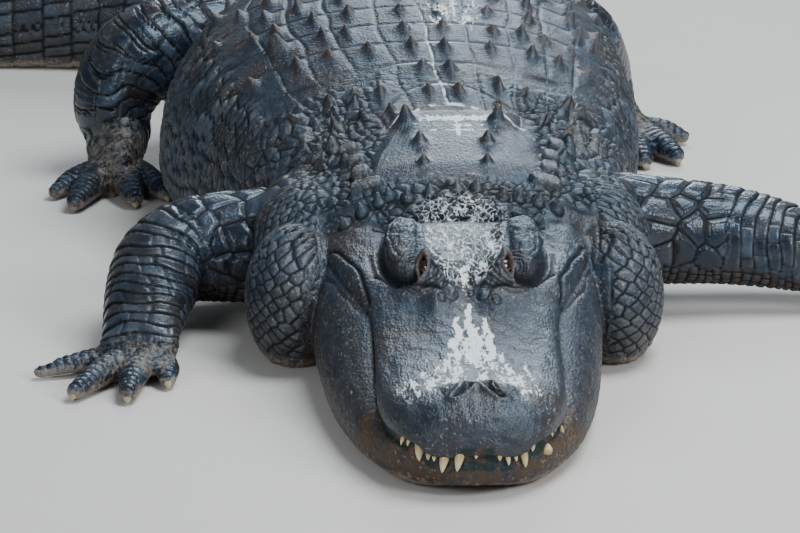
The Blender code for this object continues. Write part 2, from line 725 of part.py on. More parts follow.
FINGERS_LEFT = (
    ((0.668, -0.578, 0.022), (0.686, -0.616, 0.018), (0.702, -0.650, 0.013), 0.017, True),
    ((0.690, -0.572, 0.024), (0.730, -0.614, 0.020), (0.778, -0.658, 0.014), 0.019, True),
    ((0.704, -0.558, 0.024), (0.760, -0.580, 0.020), (0.822, -0.602, 0.014), 0.019, True),
    ((0.700, -0.540, 0.022), (0.752, -0.542, 0.017), (0.808, -0.540, 0.010), 0.014, False),
    ((0.680, -0.520, 0.022), (0.722, -0.508, 0.016), (0.764, -0.494, 0.010), 0.013, False),
)
THIGH_RIGHT = [(-0.120, 0.470, 0.175, 0.100, 0.105), (-0.290, 0.390, 0.190, 0.092, 0.095), (-0.430, 0.310, 0.185, 0.076, 0.080)]
SHANK_RIGHT = [(-0.462, 0.285, 0.170, 0.066, 0.068), (-0.478, 0.295, 0.110, 0.064, 0.062), (-0.472, 0.300, 0.066, 0.060, 0.056)]
FOOT_RIGHT = [(-0.470, 0.300, 0.050, 0.058, 0.048), (-0.476, 0.220, 0.036, 0.062, 0.036), (-0.480, 0.150, 0.026, 0.060, 0.026)]
TOES_RIGHT = (
    ((-0.440, 0.190, 0.026), (-0.418, 0.140, 0.022), (-0.398, 0.098, 0.015), 0.020, True),
    ((-0.462, 0.180, 0.028), (-0.454, 0.115, 0.025), (-0.444, 0.065, 0.017), 0.023, True),
    ((-0.490, 0.180, 0.028), (-0.513, 0.110, 0.025), (-0.532, 0.045, 0.017), 0.023, True),
    ((-0.505, 0.205, 0.026), (-0.540, 0.165, 0.021), (-0.566, 0.120, 0.013), 0.018, False),
)
THIGH_LEFT = [(0.090, 0.480, 0.170, 0.095, 0.100), (0.170, 0.440, 0.185, 0.085, 0.090), (0.232, 0.400, 0.190, 0.070, 0.074)]
SHANK_LEFT = [(0.248, 0.410, 0.176, 0.062, 0.064), (0.282, 0.480, 0.128, 0.058, 0.058), (0.308, 0.555, 0.078, 0.052, 0.050)]
FOOT_LEFT = [(0.305, 0.566, 0.056, 0.050, 0.046), (0.322, 0.480, 0.038, 0.056, 0.036), (0.342, 0.410, 0.026, 0.056, 0.026)]
TOES_LEFT = (
    ((0.315, 0.430, 0.026), (0.318, 0.375, 0.022), (0.322, 0.330, 0.015), 0.019, True),
    ((0.330, 0.410, 0.028), (0.342, 0.340, 0.025), (0.352, 0.276, 0.017), 0.023, True),
    ((0.355, 0.412, 0.028), (0.382, 0.350, 0.025), (0.404, 0.300, 0.017), 0.023, True),
    ((0.370, 0.445, 0.026), (0.404, 0.440, 0.023), (0.428, 0.435, 0.014), 0.020, False),
)
CLAW_LENGTH = 0.030


def build_foot(name, palm, digits, sides=7):
    """A hand or foot: the palm and its digits in one node, and a claw for each digit that has one."""
    pieces = [limb(name, palm, "leg", 10, 1)]
    claws = []
    for number, (root, knuckle, tip, radius, clawed) in enumerate(digits, 1):
        stations = [(*root, radius * 1.05, radius * 1.05), (*knuckle, radius, radius * 0.95), (*tip, radius * 0.62, radius * 0.60)]
        pieces.append(limb("digit", stations, "leg", sides, 1, round_ends=(False, True)))
        if clawed:
            ahead = (Vector(tip) - Vector(knuckle)).normalized()
            flat = Vector((ahead.x, ahead.y, 0)).normalized()
            base = Vector(tip) + flat * radius * 0.15
            point = Vector((base.x, base.y, 0.003)) + flat * CLAW_LENGTH
            claw = cone(f"claw_{name}_{number}", base, point, radius * 0.42, "claw", 5, (0, 0, 0.004))
            claws.append(claw)
    foot = fuse(pieces)
    cut(foot, [floor_block()])
    return foot, claws


def build_limb(word, upper_name, lower_name, foot_name, shapes, trunk, reference):
    """A leg of three nodes and its claws, each cut clear of what it grows from."""
    upper_stations, lower_stations, palm, digits = shapes
    upper = limb(f"{upper_name}_{word}", upper_stations, "leg", 12, 2)
    cut(upper, [grown(piece) for piece in trunk])
    lower = limb(f"{lower_name}_{word}", lower_stations, "leg", 12, 1, reference)
    cut(lower, [floor_block(), grown(upper)] + [grown(piece) for piece in trunk])
    foot, claws = build_foot(f"{foot_name}_{word}", palm, digits)
    cut(foot, [grown(lower), grown(upper)] + [grown(piece) for piece in trunk])
    for claw in claws:
        cut(claw, [grown(foot)])


def clear_scene():
    for obj in list(bpy.data.objects):
        bpy.data.objects.remove(obj)


def main():
    clear_scene()
    head, head_shell = build_head()
    _jaw, jaw_shell = build_jaw(head)
    neck = build_neck([head_shell, jaw_shell])
    torso = build_torso()
    tail = build_tail()
    front = [torso, neck]
    rear = [torso, tail[0]]
    forward = (0, 0, 1)
    down_leg = (0, 1, 0)
    build_limb("right", "upper_arm", "forearm", "hand", (ARM_RIGHT, FOREARM_RIGHT, HAND_RIGHT, FINGERS_RIGHT), front, forward)
    build_limb("left", "upper_arm", "forearm", "hand", (ARM_LEFT, FOREARM_LEFT, HAND_LEFT, FINGERS_LEFT), front, forward)
    build_limb("right", "thigh", "shank", "foot", (THIGH_RIGHT, SHANK_RIGHT, FOOT_RIGHT, TOES_RIGHT), rear, down_leg)
    build_limb("left", "thigh", "shank", "foot", (THIGH_LEFT, SHANK_LEFT, FOOT_LEFT, TOES_LEFT), rear, forward)
    for obj in bpy.data.objects:
        obj.data.shade_smooth()


main()
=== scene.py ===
"""The looks of the still alligator: one skin over the whole animal, with its eyes, eyelids, teeth and claws.

The skin is made in three steps. Closed base forms are laid out from named tables and joined by a voxel
remesh, which runs in a stretched space so that the head and forelegs get the finer mesh. The joined skin is
smoothed. Then each kind of scale moves its points along their normals, and leaves behind the point
attributes that the material reads. Lengths are in metres, and s is the distance from the snout's tip along
the body. The last number in a call of waves, cells, bricks or hash01 seeds its pattern.
"""

import math

import bpy
import numpy as np
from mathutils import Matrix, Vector

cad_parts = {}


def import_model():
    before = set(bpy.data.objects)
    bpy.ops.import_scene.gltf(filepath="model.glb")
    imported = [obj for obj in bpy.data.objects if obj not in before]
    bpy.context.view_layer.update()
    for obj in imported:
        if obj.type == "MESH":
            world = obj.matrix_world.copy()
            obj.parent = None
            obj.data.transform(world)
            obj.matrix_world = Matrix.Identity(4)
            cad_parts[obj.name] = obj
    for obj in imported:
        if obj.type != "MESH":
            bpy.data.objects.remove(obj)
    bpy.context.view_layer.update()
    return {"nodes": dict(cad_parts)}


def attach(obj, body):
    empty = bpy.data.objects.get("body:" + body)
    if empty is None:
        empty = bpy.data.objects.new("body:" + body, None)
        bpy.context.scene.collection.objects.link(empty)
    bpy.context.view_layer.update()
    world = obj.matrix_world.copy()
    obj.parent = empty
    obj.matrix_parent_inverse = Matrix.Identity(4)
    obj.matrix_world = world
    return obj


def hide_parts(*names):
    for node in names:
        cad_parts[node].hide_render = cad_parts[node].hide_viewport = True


SNOUT_Y = -1.35
TOTAL_LENGTH = 4.0
SEED = 4
WAVE_COUNT = 14
# A distance past any on the model, and how many points are measured at once
FAR = 1e9
CHUNK = 20000

# The mesh: voxel size at the tail, how much finer it is at the head, and the y of both ends of the change
VOXEL = 0.0046
FINE = 1.85
FINE_FROM = -0.15
COARSE_FROM = 0.55

# Rounds of smoothing: over the whole skin, and where the limbs and the head join the trunk
SMOOTH_ROUNDS = 5
JOINT_ROUNDS = 26

# The tail's bend
BEND_START = 1.70
BEND_END = 2.92
BEND_DEG = 90.0
TIP_TURN_DEG = -38.0

# Body stations: s, half width, height of the back, height of the widest level, sideways shift, lean
BODY = np.array([
    (0.50, 0.120, 0.110, 0.070, 0.000, 0.05),
    (0.56, 0.135, 0.145, 0.085, 0.000, 0.05),
    (0.60, 0.155, 0.178, 0.094, 0.000, 0.05),
    (0.64, 0.188, 0.206, 0.102, 0.000, 0.05),
    (0.68, 0.222, 0.222, 0.110, 0.000, 0.05),
    (0.72, 0.236, 0.232, 0.114, 0.000, 0.05),
    (0.78, 0.244, 0.246, 0.118, 0.000, 0.05),
    (0.90, 0.262, 0.272, 0.126, -0.006, 0.06),
    (1.02, 0.296, 0.304, 0.134, -0.024, 0.07),
    (1.15, 0.330, 0.336, 0.138, -0.046, 0.09),
    (1.28, 0.346, 0.358, 0.140, -0.063, 0.11),
    (1.42, 0.346, 0.368, 0.140, -0.066, 0.12),
    (1.56, 0.318, 0.358, 0.142, -0.048, 0.09),
    (1.70, 0.264, 0.332, 0.144, -0.022, 0.05),
    (1.82, 0.218, 0.304, 0.142, -0.004, 0.02),
    (1.94, 0.184, 0.280, 0.134, 0.000, 0.00),
    (2.15, 0.152, 0.248, 0.116, 0.000, 0.00),
    (2.45, 0.124, 0.216, 0.100, 0.000, 0.00),
    (2.75, 0.100, 0.186, 0.086, 0.000, 0.00),
    (3.05, 0.077, 0.154, 0.070, 0.000, 0.00),
    (3.35, 0.054, 0.119, 0.054, 0.000, 0.00),
    (3.65, 0.033, 0.083, 0.038, 0.000, 0.00),
    (3.88, 0.016, 0.050, 0.023, 0.000, 0.00),
    (4.00, 0.007, 0.028, 0.013, 0.000, 0.00),
])
# How far the section's curve runs on under the floor, and the powers of its upper and lower half
BELLY_SINK = 0.012
UPPER_POWER = 0.86
LOWER_POWER = 0.62

# Head stations: s, half width at the lip, lip height, crown height, power of the cross-section
HEAD = np.array([
    (0.000, 0.024, 0.062, 0.074, 2.2),
    (0.006, 0.046, 0.056, 0.088, 2.3),
    (0.014, 0.062, 0.058, 0.098, 2.4),
    (0.024, 0.074, 0.066, 0.105, 2.5),
    (0.040, 0.088, 0.070, 0.111, 2.5),
    (0.075, 0.105, 0.071, 0.116, 2.6),
    (0.120, 0.116, 0.075, 0.115, 2.7),
    (0.180, 0.119, 0.084, 0.115, 2.8),
    (0.250, 0.119, 0.096, 0.122, 2.8),
    (0.320, 0.120, 0.110, 0.136, 2.8),
    (0.375, 0.122, 0.122, 0.150, 2.8),
    (0.420, 0.132, 0.129, 0.161, 2.9),
    (0.480, 0.150, 0.136, 0.169, 3.2),
    (0.530, 0.163, 0.141, 0.171, 3.5),
    (0.580, 0.173, 0.145, 0.173, 3.8),
    (0.620, 0.177, 0.147, 0.174, 4.0),
    (0.690, 0.180, 0.147, 0.168, 4.0),
])
# The head's shift to +X, and its lean that way for each metre of height
HEAD_SHIFT = 0.001
HEAD_LEAN = 0.05

# Lower jaw stations: s, half width at its widest level, and that level's height
JAW = np.array([
    (0.003, 0.026, 0.038),
    (0.012, 0.048, 0.036),
    (0.030, 0.074, 0.034),
    (0.060, 0.099, 0.032),
    (0.100, 0.121, 0.032),
    (0.150, 0.141, 0.032),
    (0.220, 0.159, 0.034),
    (0.300, 0.173, 0.038),
    (0.400, 0.184, 0.048),
    (0.500, 0.191, 0.060),
    (0.580, 0.190, 0.072),
    (0.660, 0.180, 0.080),
])
# The height of the gap between the lips at the snout's tip
MOUTH_GAP = 0.012

# The eyes: x and s, radius, how far the ball stands out, the opening's half width and height, and the gaze
EYE_AT = (0.0550, 0.421)
EYE_RADIUS = 0.0135
EYE_OUT = 0.0020
EYE_OPENING = (0.0078, 0.0145)
EYE_FACING = (0.58, -0.70, 0.42)
# Rows of the eyelids, from inside out: share of the opening, and height over the skin
LID_ROWS = (
    (0.70, -0.0012), (0.80, 0.0004), (0.88, 0.0014), (0.97, 0.0024), (1.07, 0.0030),
    (1.18, 0.0029), (1.30, 0.0018), (1.41, 0.0004), (1.52, -0.0014), (1.66, -0.0045),
)
# The lobe behind each eye: x and s of its middle, then its inner, outer and lengthwise reach
LOBE_AT = (0.0745, 0.505)
LOBE_REACH = (0.036, 0.033, 0.090)

# Knobs on the snout: x, s, radius, rise
KNOBS = (
    (-0.0200, 0.388, 0.0098, 0.0065), (-0.0080, 0.416, 0.0060, 0.0045), (0.0225, 0.382, 0.0085, 0.0065),
    (0.0135, 0.416, 0.0060, 0.0040), (0.0060, 0.392, 0.0045, 0.0020), (0.0265, 0.398, 0.0065, 0.0035),
    (-0.0320, 0.368, 0.0055, 0.0022), (0.0390, 0.362, 0.0060, 0.0025), (-0.0330, 0.405, 0.0090, 0.0030),
    (0.0340, 0.405, 0.0090, 0.0030),
)
# Creases by the lobes: x and s of one end and of the other, depth, and darkness of the painted shade in the
# crease
LOBE_CREASES = (
    (0.062, 0.408, 0.092, 0.420, 0.0030, 0.9), (0.092, 0.420, 0.117, 0.455, 0.0030, 0.8),
    (0.117, 0.455, 0.122, 0.520, 0.0020, 0.5), (0.061, 0.455, 0.058, 0.580, 0.0012, 0.35),
    (0.034, 0.388, 0.058, 0.394, 0.0035, 1.0), (0.020, 0.420, 0.036, 0.448, 0.0022, 0.7),
    (0.026, 0.445, 0.040, 0.480, 0.0014, 0.5),
)
# The fold at the corner of the mouth: x and s of its ends
CORNER_FOLD = (0.129, 0.400, 0.174, 0.580)
# White strokes on the snout: x and s of one end and of the other, half width
WHITE_STROKES = (
    (-0.018, 0.225, -0.012, 0.330, 0.0080), (0.000, 0.225, 0.003, 0.368, 0.0085),
    (0.013, 0.228, 0.011, 0.300, 0.0060), (0.027, 0.218, 0.021, 0.325, 0.0080),
)

# Rolls of flesh beside the neck: x, station and z of the centre, then the radii
JOWLS = (
    ((0.216, 0.638, 0.080), (0.068, 0.120, 0.098)),
    ((0.190, 0.748, 0.120), (0.086, 0.105, 0.092)),
    ((0.200, 0.800, 0.110), (0.078, 0.120, 0.100)),
)

# The back's plates: where their rows start, how long one is, where they end, and each column's keel, by its
# place as a share of the half width and its rise
PLATE_START = 0.918
PLATE_PITCH = 0.0625
PLATE_END = 1.90
COLUMNS = ((0.073, 0.014), (0.300, 0.013), (0.475, 0.016), (0.615, 0.017), (0.740, 0.014))
# The nape: keels by s, sideways place, rise and radius, blocks by s and place, and a row of spikes by place
NAPE_KEELS = (
    (0.735, 0.043, 0.013, 0.0085), (0.795, 0.046, 0.017, 0.0105), (0.862, 0.062, 0.025, 0.0130),
    (0.755, 0.132, 0.010, 0.0120), (0.800, 0.150, 0.015, 0.0130), (0.850, 0.160, 0.018, 0.0140),
)
NAPE_BLOCKS = ((0.815, 0.142), (0.775, 0.132), (0.740, 0.128), (0.700, 0.130), (0.702, 0.112))
SPIKE_STATION = 0.668
SPIKES = (-0.150, -0.128, -0.105, -0.092, -0.067, -0.037, 0.000, 0.027, 0.062, 0.084, 0.110, 0.136)

# Sizes of scales, along the body or limb and across it, or along x, y and z
FLANK_SIZE = (0.0175, 0.026)
BELLY_SIZE = (0.030, 0.032)
LIMB_PLATE_SIZE = (0.041, 0.037)
BAND_SIZE = (0.0205, 0.040)
INNER_SIZE = (0.0135, 0.0145)
DIGIT_SIZE = (0.0115, 0.016)
SHOULDER_SIZE = (0.0230, 0.0250, 0.0220)
NECK_SIZE = (0.0165, 0.0175, 0.0150)
LOBE_PEBBLE_SIZE = (0.0075, 0.0095, 0.0095)
JAW_FOLD_SIZE = (0.013, 0.018, 0.012)

# Heights above which a point is on the back, on the top of the neck or head, or on the crown
BACK_FROM = 0.10
TOP_FROM = 0.12
CROWN_FROM = 0.14

# Tail: the whorls' length and the width of their scales, above and below, then the crest of blades
WHORL_PITCH = 0.0538
WHORL_WIDTH = 0.026
WHORL_WIDTH_BELOW = 0.022
CREST_MERGE = 3.16
CREST_RISE = 0.040

# Limbs, from the trunk out: x, y, z, half width and half height
LIMBS = {
    "arm_right": [
        (-0.150, -0.500, 0.112, 0.092, 0.084), (-0.250, -0.525, 0.102, 0.082, 0.079),
        (-0.345, -0.540, 0.101, 0.073, 0.073), (-0.392, -0.580, 0.090, 0.064, 0.064),
        (-0.405, -0.645, 0.070, 0.063, 0.056), (-0.412, -0.700, 0.054, 0.058, 0.047),
        (-0.418, -0.760, 0.038, 0.054, 0.035), (-0.424, -0.805, 0.026, 0.058, 0.026),
        (-0.430, -0.840, 0.019, 0.044, 0.019),
    ],
    "arm_left": [
        (0.150, -0.500, 0.118, 0.092, 0.084), (0.270, -0.498, 0.112, 0.080, 0.077),
        (0.385, -0.490, 0.102, 0.069, 0.070), (0.470, -0.490, 0.086, 0.066, 0.062),
        (0.550, -0.500, 0.064, 0.058, 0.050), (0.625, -0.520, 0.042, 0.052, 0.036),
        (0.680, -0.545, 0.026, 0.058, 0.026), (0.716, -0.562, 0.019, 0.044, 0.019),
    ],
    "leg_right": [
        (-0.120, 0.470, 0.175, 0.105, 0.110), (-0.290, 0.390, 0.190, 0.094, 0.096),
        (-0.430, 0.310, 0.182, 0.074, 0.078), (-0.478, 0.290, 0.120, 0.068, 0.064),
        (-0.474, 0.285, 0.062, 0.060, 0.050), (-0.476, 0.220, 0.036, 0.062, 0.036),
        (-0.480, 0.150, 0.024, 0.056, 0.024),
    ],
    "leg_left": [
        (0.090, 0.480, 0.170, 0.100, 0.105), (0.170, 0.440, 0.185, 0.086, 0.090),
        (0.240, 0.404, 0.184, 0.070, 0.074), (0.282, 0.480, 0.128, 0.060, 0.060),
        (0.306, 0.555, 0.070, 0.054, 0.050), (0.322, 0.480, 0.038, 0.056, 0.036),
        (0.342, 0.410, 0.024, 0.052, 0.024),
    ],
}
# Digits: root, knuckle, tip, radius, and whether it has a claw
DIGITS = {
    "arm_right": (
        ((-0.395, -0.800, 0.022), (-0.382, -0.836, 0.018), (-0.380, -0.872, 0.013), 0.017, True),
        ((-0.415, -0.815, 0.024), (-0.424, -0.870, 0.020), (-0.431, -0.935, 0.014), 0.019, True),
        ((-0.440, -0.812, 0.024), (-0.468, -0.862, 0.020), (-0.500, -0.922, 0.014), 0.019, True),
        ((-0.455, -0.790, 0.022), (-0.500, -0.806, 0.017), (-0.552, -0.822, 0.010), 0.0125, False),
        ((-0.452, -0.772, 0.022), (-0.492, -0.776, 0.016), (-0.530, -0.784, 0.010), 0.0115, False),
    ),
    "arm_left": (
        ((0.668, -0.578, 0.022), (0.686, -0.616, 0.018), (0.702, -0.650, 0.013), 0.017, True),
        ((0.690, -0.572, 0.024), (0.730, -0.614, 0.020), (0.778, -0.658, 0.014), 0.019, True),
        ((0.704, -0.558, 0.024), (0.760, -0.580, 0.020), (0.822, -0.602, 0.014), 0.019, True),
        ((0.700, -0.540, 0.022), (0.752, -0.542, 0.017), (0.808, -0.540, 0.010), 0.0125, False),
        ((0.680, -0.520, 0.022), (0.722, -0.508, 0.016), (0.764, -0.494, 0.010), 0.0115, False),
    ),
    "leg_right": (
        ((-0.440, 0.190, 0.026), (-0.418, 0.140, 0.022), (-0.398, 0.098, 0.015), 0.020, True),
        ((-0.462, 0.180, 0.028), (-0.454, 0.115, 0.025), (-0.444, 0.065, 0.017), 0.023, True),
        ((-0.490, 0.180, 0.028), (-0.513, 0.110, 0.025), (-0.532, 0.045, 0.017), 0.023, True),
        ((-0.505, 0.205, 0.026), (-0.540, 0.165, 0.021), (-0.566, 0.120, 0.013), 0.018, False),
    ),
    "leg_left": (
        ((0.315, 0.430, 0.026), (0.318, 0.375, 0.022), (0.322, 0.330, 0.015), 0.019, True),
        ((0.330, 0.410, 0.028), (0.342, 0.340, 0.025), (0.352, 0.276, 0.017), 0.023, True),
        ((0.355, 0.412, 0.028), (0.382, 0.350, 0.025), (0.404, 0.300, 0.017), 0.023, True),
        ((0.370, 0.445, 0.026), (0.404, 0.440, 0.023), (0.428, 0.435, 0.014), 0.020, False),
    ),
}
# Where along each limb its large plates end and its bands begin, and where the bands end
PLATES_UNTIL = {"arm_right": 0.235, "arm_left": 0.250, "leg_right": 0.300, "leg_left": 0.130}
BANDS_UNTIL = {"arm_right": 0.520, "arm_left": 0.540, "leg_right": 0.560, "leg_left": 0.480}
# Claws: their length and the height of their tips. Claws and teeth are horns, made of rings.
CLAW_LENGTH = 0.0145
CLAW_FLOOR = 0.003
HORN_SIDES = 14
HORN_ROWS = 12
HORN_ROLL = (0.1, 0.2, 0.97)

# The flat map for baked colours: the gap between charts, the length of a trunk chart, where the neck ends
CHART_MARGIN = 0.012
TRUNK_CHART = 0.50
NECK_END = 0.95

# Teeth that show: sideways place, length, radius, lean to the side, and whether it grows from the lower jaw
TEETH = (
    (-0.0916, 0.012, 0.0044, 0.0, False), (-0.0850, 0.009, 0.0040, 0.1, False),
    (-0.0730, 0.020, 0.0074, 0.45, False), (-0.0610, 0.008, 0.0044, 0.3, False),
    (-0.0535, 0.006, 0.0038, 0.2, False), (-0.0410, 0.019, 0.0066, 0.0, False),
    (-0.0215, 0.021, 0.0070, -0.15, False), (-0.0010, 0.006, 0.0040, 0.0, False),
    (0.0290, 0.008, 0.0046, -0.1, False), (0.0395, 0.011, 0.0042, 0.1, False),
    (0.0500, 0.006, 0.0036, 0.0, False), (0.0610, 0.018, 0.0064, -0.05, False),
    (0.0720, 0.009, 0.0050, -0.35, False), (0.0890, 0.013, 0.0076, -0.1, True),
    (0.0975, 0.008, 0.0038, 0.0, False), (0.1030, 0.006, 0.0034, 0.0, False),
    (0.1085, 0.018, 0.0052, -0.1, True),
)


def ease(x, low, high):
    """0 below low, 1 above high, smooth between."""
    t = np.clip((x - low) / (high - low), 0, 1)
    return t * t * (3 - 2 * t)


def fade(x, low, high):
    """1 below low, 0 above high, smooth between."""
    return 1 - ease(x, low, high)


def bell(x, width):
    """1 at 0, falling off to both sides."""
    return np.exp(-((x / width) ** 2))


def hermite(table, column, s):
    """A column of a station table at s, on a smooth curve through the stations."""
    xs, ys = table[:, 0], table[:, column]
    s = np.clip(s, xs[0], xs[-1])
    slope = np.gradient(ys, xs)
    i = np.clip(np.searchsorted(xs, s, side="right") - 1, 0, len(xs) - 2)
    h = xs[i + 1] - xs[i]
    t = (s - xs[i]) / h
    return (
        (2 * t**3 - 3 * t**2 + 1) * ys[i]
        + (t**3 - 2 * t**2 + t) * h * slope[i]
        + (-2 * t**3 + 3 * t**2) * ys[i + 1]
        + (t**3 - t**2) * h * slope[i + 1]
    )


def heading(s):
    """The direction of the spine in the floor plane, in radians from +X."""
    turn = BEND_DEG * ease(s, BEND_START, BEND_END) + TIP_TURN_DEG * ease(s, BEND_END, TOTAL_LENGTH)
    return np.radians(90 + turn)


PATH_S = np.linspace(0, TOTAL_LENGTH, 2001)
PATH_STEP = PATH_S[1] - PATH_S[0]
PATH_MID = heading(PATH_S[:-1] + PATH_STEP / 2)
PATH_X = np.concatenate([[0], np.cumsum(np.cos(PATH_MID) * PATH_STEP)])
PATH_Y = np.concatenate([[0], np.cumsum(np.sin(PATH_MID) * PATH_STEP)]) + SNOUT_Y


def body_surface(s, phi):
    """Points of the trunk and tail. phi is 0 at the back's midline, positive to +X, pi under the belly."""
    half, back, wide, shift, lean = (hermite(BODY, c, s) for c in range(1, 6))
    side, up = np.sin(phi), np.cos(phi)
    power = np.where(up >= 0, UPPER_POWER, LOWER_POWER)
    x = half * np.sign(side) * np.abs(side) ** power
    rise = np.abs(up) ** power
    z = np.where(up >= 0, wide + (back - wide) * rise, wide - (wide + BELLY_SINK) * rise)
    z = np.maximum(z, 0)
    x = x + shift + lean * z
    a = heading(s)
    px, py = np.interp(s, PATH_S, PATH_X), np.interp(s, PATH_S, PATH_Y)
    return np.stack([px + np.sin(a) * x, py - np.cos(a) * x, z], -1)


# Patterns


def hash01(i, j, salt=0):
    """A repeatable number from 0 to 1 for each whole-number cell."""
    n = i.astype(np.int64) * 73856093 ^ j.astype(np.int64) * 19349663 ^ (salt + SEED) * 83492791
    n = (n ^ (n >> 13)) * 1274126177
    n = (n ^ (n >> 15)) * 668265263
    return ((n ^ (n >> 16)) & 0xFFFFFF) / float(0xFFFFFF)


def waves(points, size, salt=0):
    """A smooth random field from about -1 to 1 whose forms are about this size."""
    rng = np.random.default_rng(SEED * 100 + salt)
    out = np.zeros(len(points))
    for _ in range(WAVE_COUNT):
        way = rng.normal(size=3)
        way *= rng.uniform(0.6, 1.5) / size / np.linalg.norm(way) * 3.2
        out += np.sin(points @ way + rng.uniform(0, 6.28))
    return out / math.sqrt(WAVE_COUNT / 2) / 1.6


def cells(points, size, jitter, salt):
    """Irregular cells in space or on a flat map: the distance to the nearest edge, and each cell's number."""
    size = np.asarray(size, float)
    flat = points.shape[1] == 2
    if flat:
        points = np.column_stack([points, np.zeros(len(points))])
        size = np.append(size, 1.0)
    base = np.floor(points / size)
    near = np.full(len(points), FAR)
    spots, best = [], np.zeros((len(points), 3))
    number = np.zeros(len(points))
    reach = (-1, 0, 1)
    for dx in reach:
        for dy in reach:
            for dz in (0,) if flat else reach:
                cell = base + (dx, dy, dz)
                mixed = cell[:, 0] + 157 * cell[:, 2]
                spot = np.stack([hash01(mixed, cell[:, 1], salt + k) for k in range(3)], 1)
                spot = (cell + 0.5 + jitter * (spot - 0.5)) * size
                if flat:
                    spot[:, 2] = 0
                gap = ((spot - points) ** 2).sum(1)
                closer = gap < near
                near[closer] = gap[closer]
                best[closer] = spot[closer]
                number[closer] = hash01(mixed, cell[:, 1], salt + 7)[closer]
                spots.append(spot.astype(np.float32))
    edge = np.full(len(points), FAR)
    for spot in spots:
        step = spot - best
        length = np.sqrt((step**2).sum(1))
        far = length > 1e-5
        middle = (best + spot) / 2 - points
        distance = np.where(far, (middle * step).sum(1) / np.maximum(length, 1e-5), FAR)
        edge = np.minimum(edge, distance)
    return np.maximum(edge, 0), number


def bricks(distance, height, v, width, jitter, salt):
    """Rows of plates. distance runs across rows of the given height, and v runs along a row.

    Returns the distance to the seam between rows, the distance to the seam in the row, each plate's random
    number, and how far up its row each point is, from 0 to 1.
    """
    u = distance / height
    row = np.floor(u)
    up = u - row
    between = np.minimum(up, 1 - up) * height
    shift = hash01(row, row * 0, salt) + 0.5 * (row % 2)
    first = np.floor(v / width - shift)
    inside = np.full(len(u), FAR)
    passed = np.zeros(len(u))
    for k in (-1, 0, 1, 2):
        border = (first + k + shift + jitter * (hash01(first + k, row, salt + 3) - 0.5)) * width
        inside = np.minimum(inside, np.abs(v - border))
        passed += v > border
    return between, inside, hash01(first + passed, row, salt + 5), up


def dome(distance, width):
    """0 in a seam, 1 on a plate."""
    return ease(distance, 0, width)


def both_sides(table):
    """Each row of a table twice, with -1 and with 1."""
    return [(sign, row) for row in table for sign in (-1, 1)]


# Base forms


def spline(points, steps):
    """Points on a smooth curve through the given rows, with steps to each span."""
    p = np.asarray(points, float)
    ends = np.vstack([2 * p[0] - p[1], p, 2 * p[-1] - p[-2]])
    out = []
    for i in range(1, len(ends) - 2):
        a, b, c, d = ends[i - 1 : i + 3]
        for k in range(steps):
            t = k / steps
            square, cube = 2 * a - 5 * b + 4 * c - d, 3 * b - a - 3 * c + d
            out.append(0.5 * (2 * b + (c - a) * t + square * t**2 + cube * t**3))
    out.append(p[-1])
    return np.array(out)


class Tube:
    """A round form along a curve. It tells points near it where on it they are."""

    def __init__(self, stations, steps=12):
        rows = spline(stations, steps)
        self.centre, self.half, self.tall = rows[:, :3], rows[:, 3], rows[:, 4]
        ahead = np.gradient(self.centre, axis=0)
        self.ahead = ahead / np.linalg.norm(ahead, axis=1)[:, None]
        side = []
        last = np.cross(self.ahead[0], (0, 0, 1))
        for way in self.ahead:
            last = last - way * (last @ way)
            last = last / np.linalg.norm(last)
            side.append(last)
        self.side = np.array(side)
        self.up = np.cross(self.side, self.ahead)
        step = np.linalg.norm(np.diff(self.centre, axis=0), axis=1)
        self.t = np.concatenate([[0], np.cumsum(step)])

    def rings(self, sides=40):
        a = np.linspace(0, 2 * np.pi, sides, endpoint=False)
        bend = [(along, math.sqrt(1 - along**2)) for along in (0.3, 0.6, 0.85, 0.97)]
        stations = [(0, -x, r) for x, r in reversed(bend)]
        stations += [(i, 0.0, 1.0) for i in range(len(self.t))]
        stations += [(len(self.t) - 1, x, r) for x, r in bend]
        out = []
        for i, along, scale in stations:
            r = min(self.half[i], self.tall[i])
            centre = self.centre[i] + self.ahead[i] * along * r
            out.append(
                centre
                + np.outer(np.cos(a), self.side[i]) * self.half[i] * scale
                + np.outer(np.sin(a), self.up[i]) * self.tall[i] * scale
            )
        return np.array(out)

    def locate(self, points, margin=1.6):
        """Indices of the points near the tube, their distance along it, their angle round it, and their
        distance from its axis as a share of its radius."""
        reach = max(self.half.max(), self.tall.max()) * margin
        low, high = self.centre.min(0) - reach, self.centre.max(0) + reach
        near = np.nonzero(((points > low) & (points < high)).all(1))[0]
        t, angle, share = (np.zeros(len(near)) for _ in range(3))
        for start in range(0, len(near), CHUNK):
            part = near[start : start + CHUNK]
            p = points[part]
            i = np.argmin(((p[:, None, :] - self.centre[None]) ** 2).sum(2), axis=1)
            off = p - self.centre[i]
            along = (off * self.ahead[i]).sum(1)
            off = off - self.ahead[i] * along[:, None]
            a, b = (off * self.side[i]).sum(1) / self.half[i], (off * self.up[i]).sum(1) / self.tall[i]
            beyond = np.where((i == 0) | (i == len(self.t) - 1), np.abs(along) / self.half[i], 0)
            t[start : start + CHUNK] = self.t[i] + along
            angle[start : start + CHUNK] = np.arctan2(b, a)
            share[start : start + CHUNK] = np.sqrt(a * a + b * b + beyond**2)
        keep = share < margin
        return near[keep], t[keep], angle[keep], share[keep]


def lobe_reach(ax, s):
    """How far each point is from the centre of the lobe behind the eye, with 1 at its edge."""
    off = ax - LOBE_AT[0]
    wide = np.where(off < 0, LOBE_REACH[0], LOBE_REACH[1])
    return np.hypot(off / wide, (s - LOBE_AT[1]) / LOBE_REACH[2])


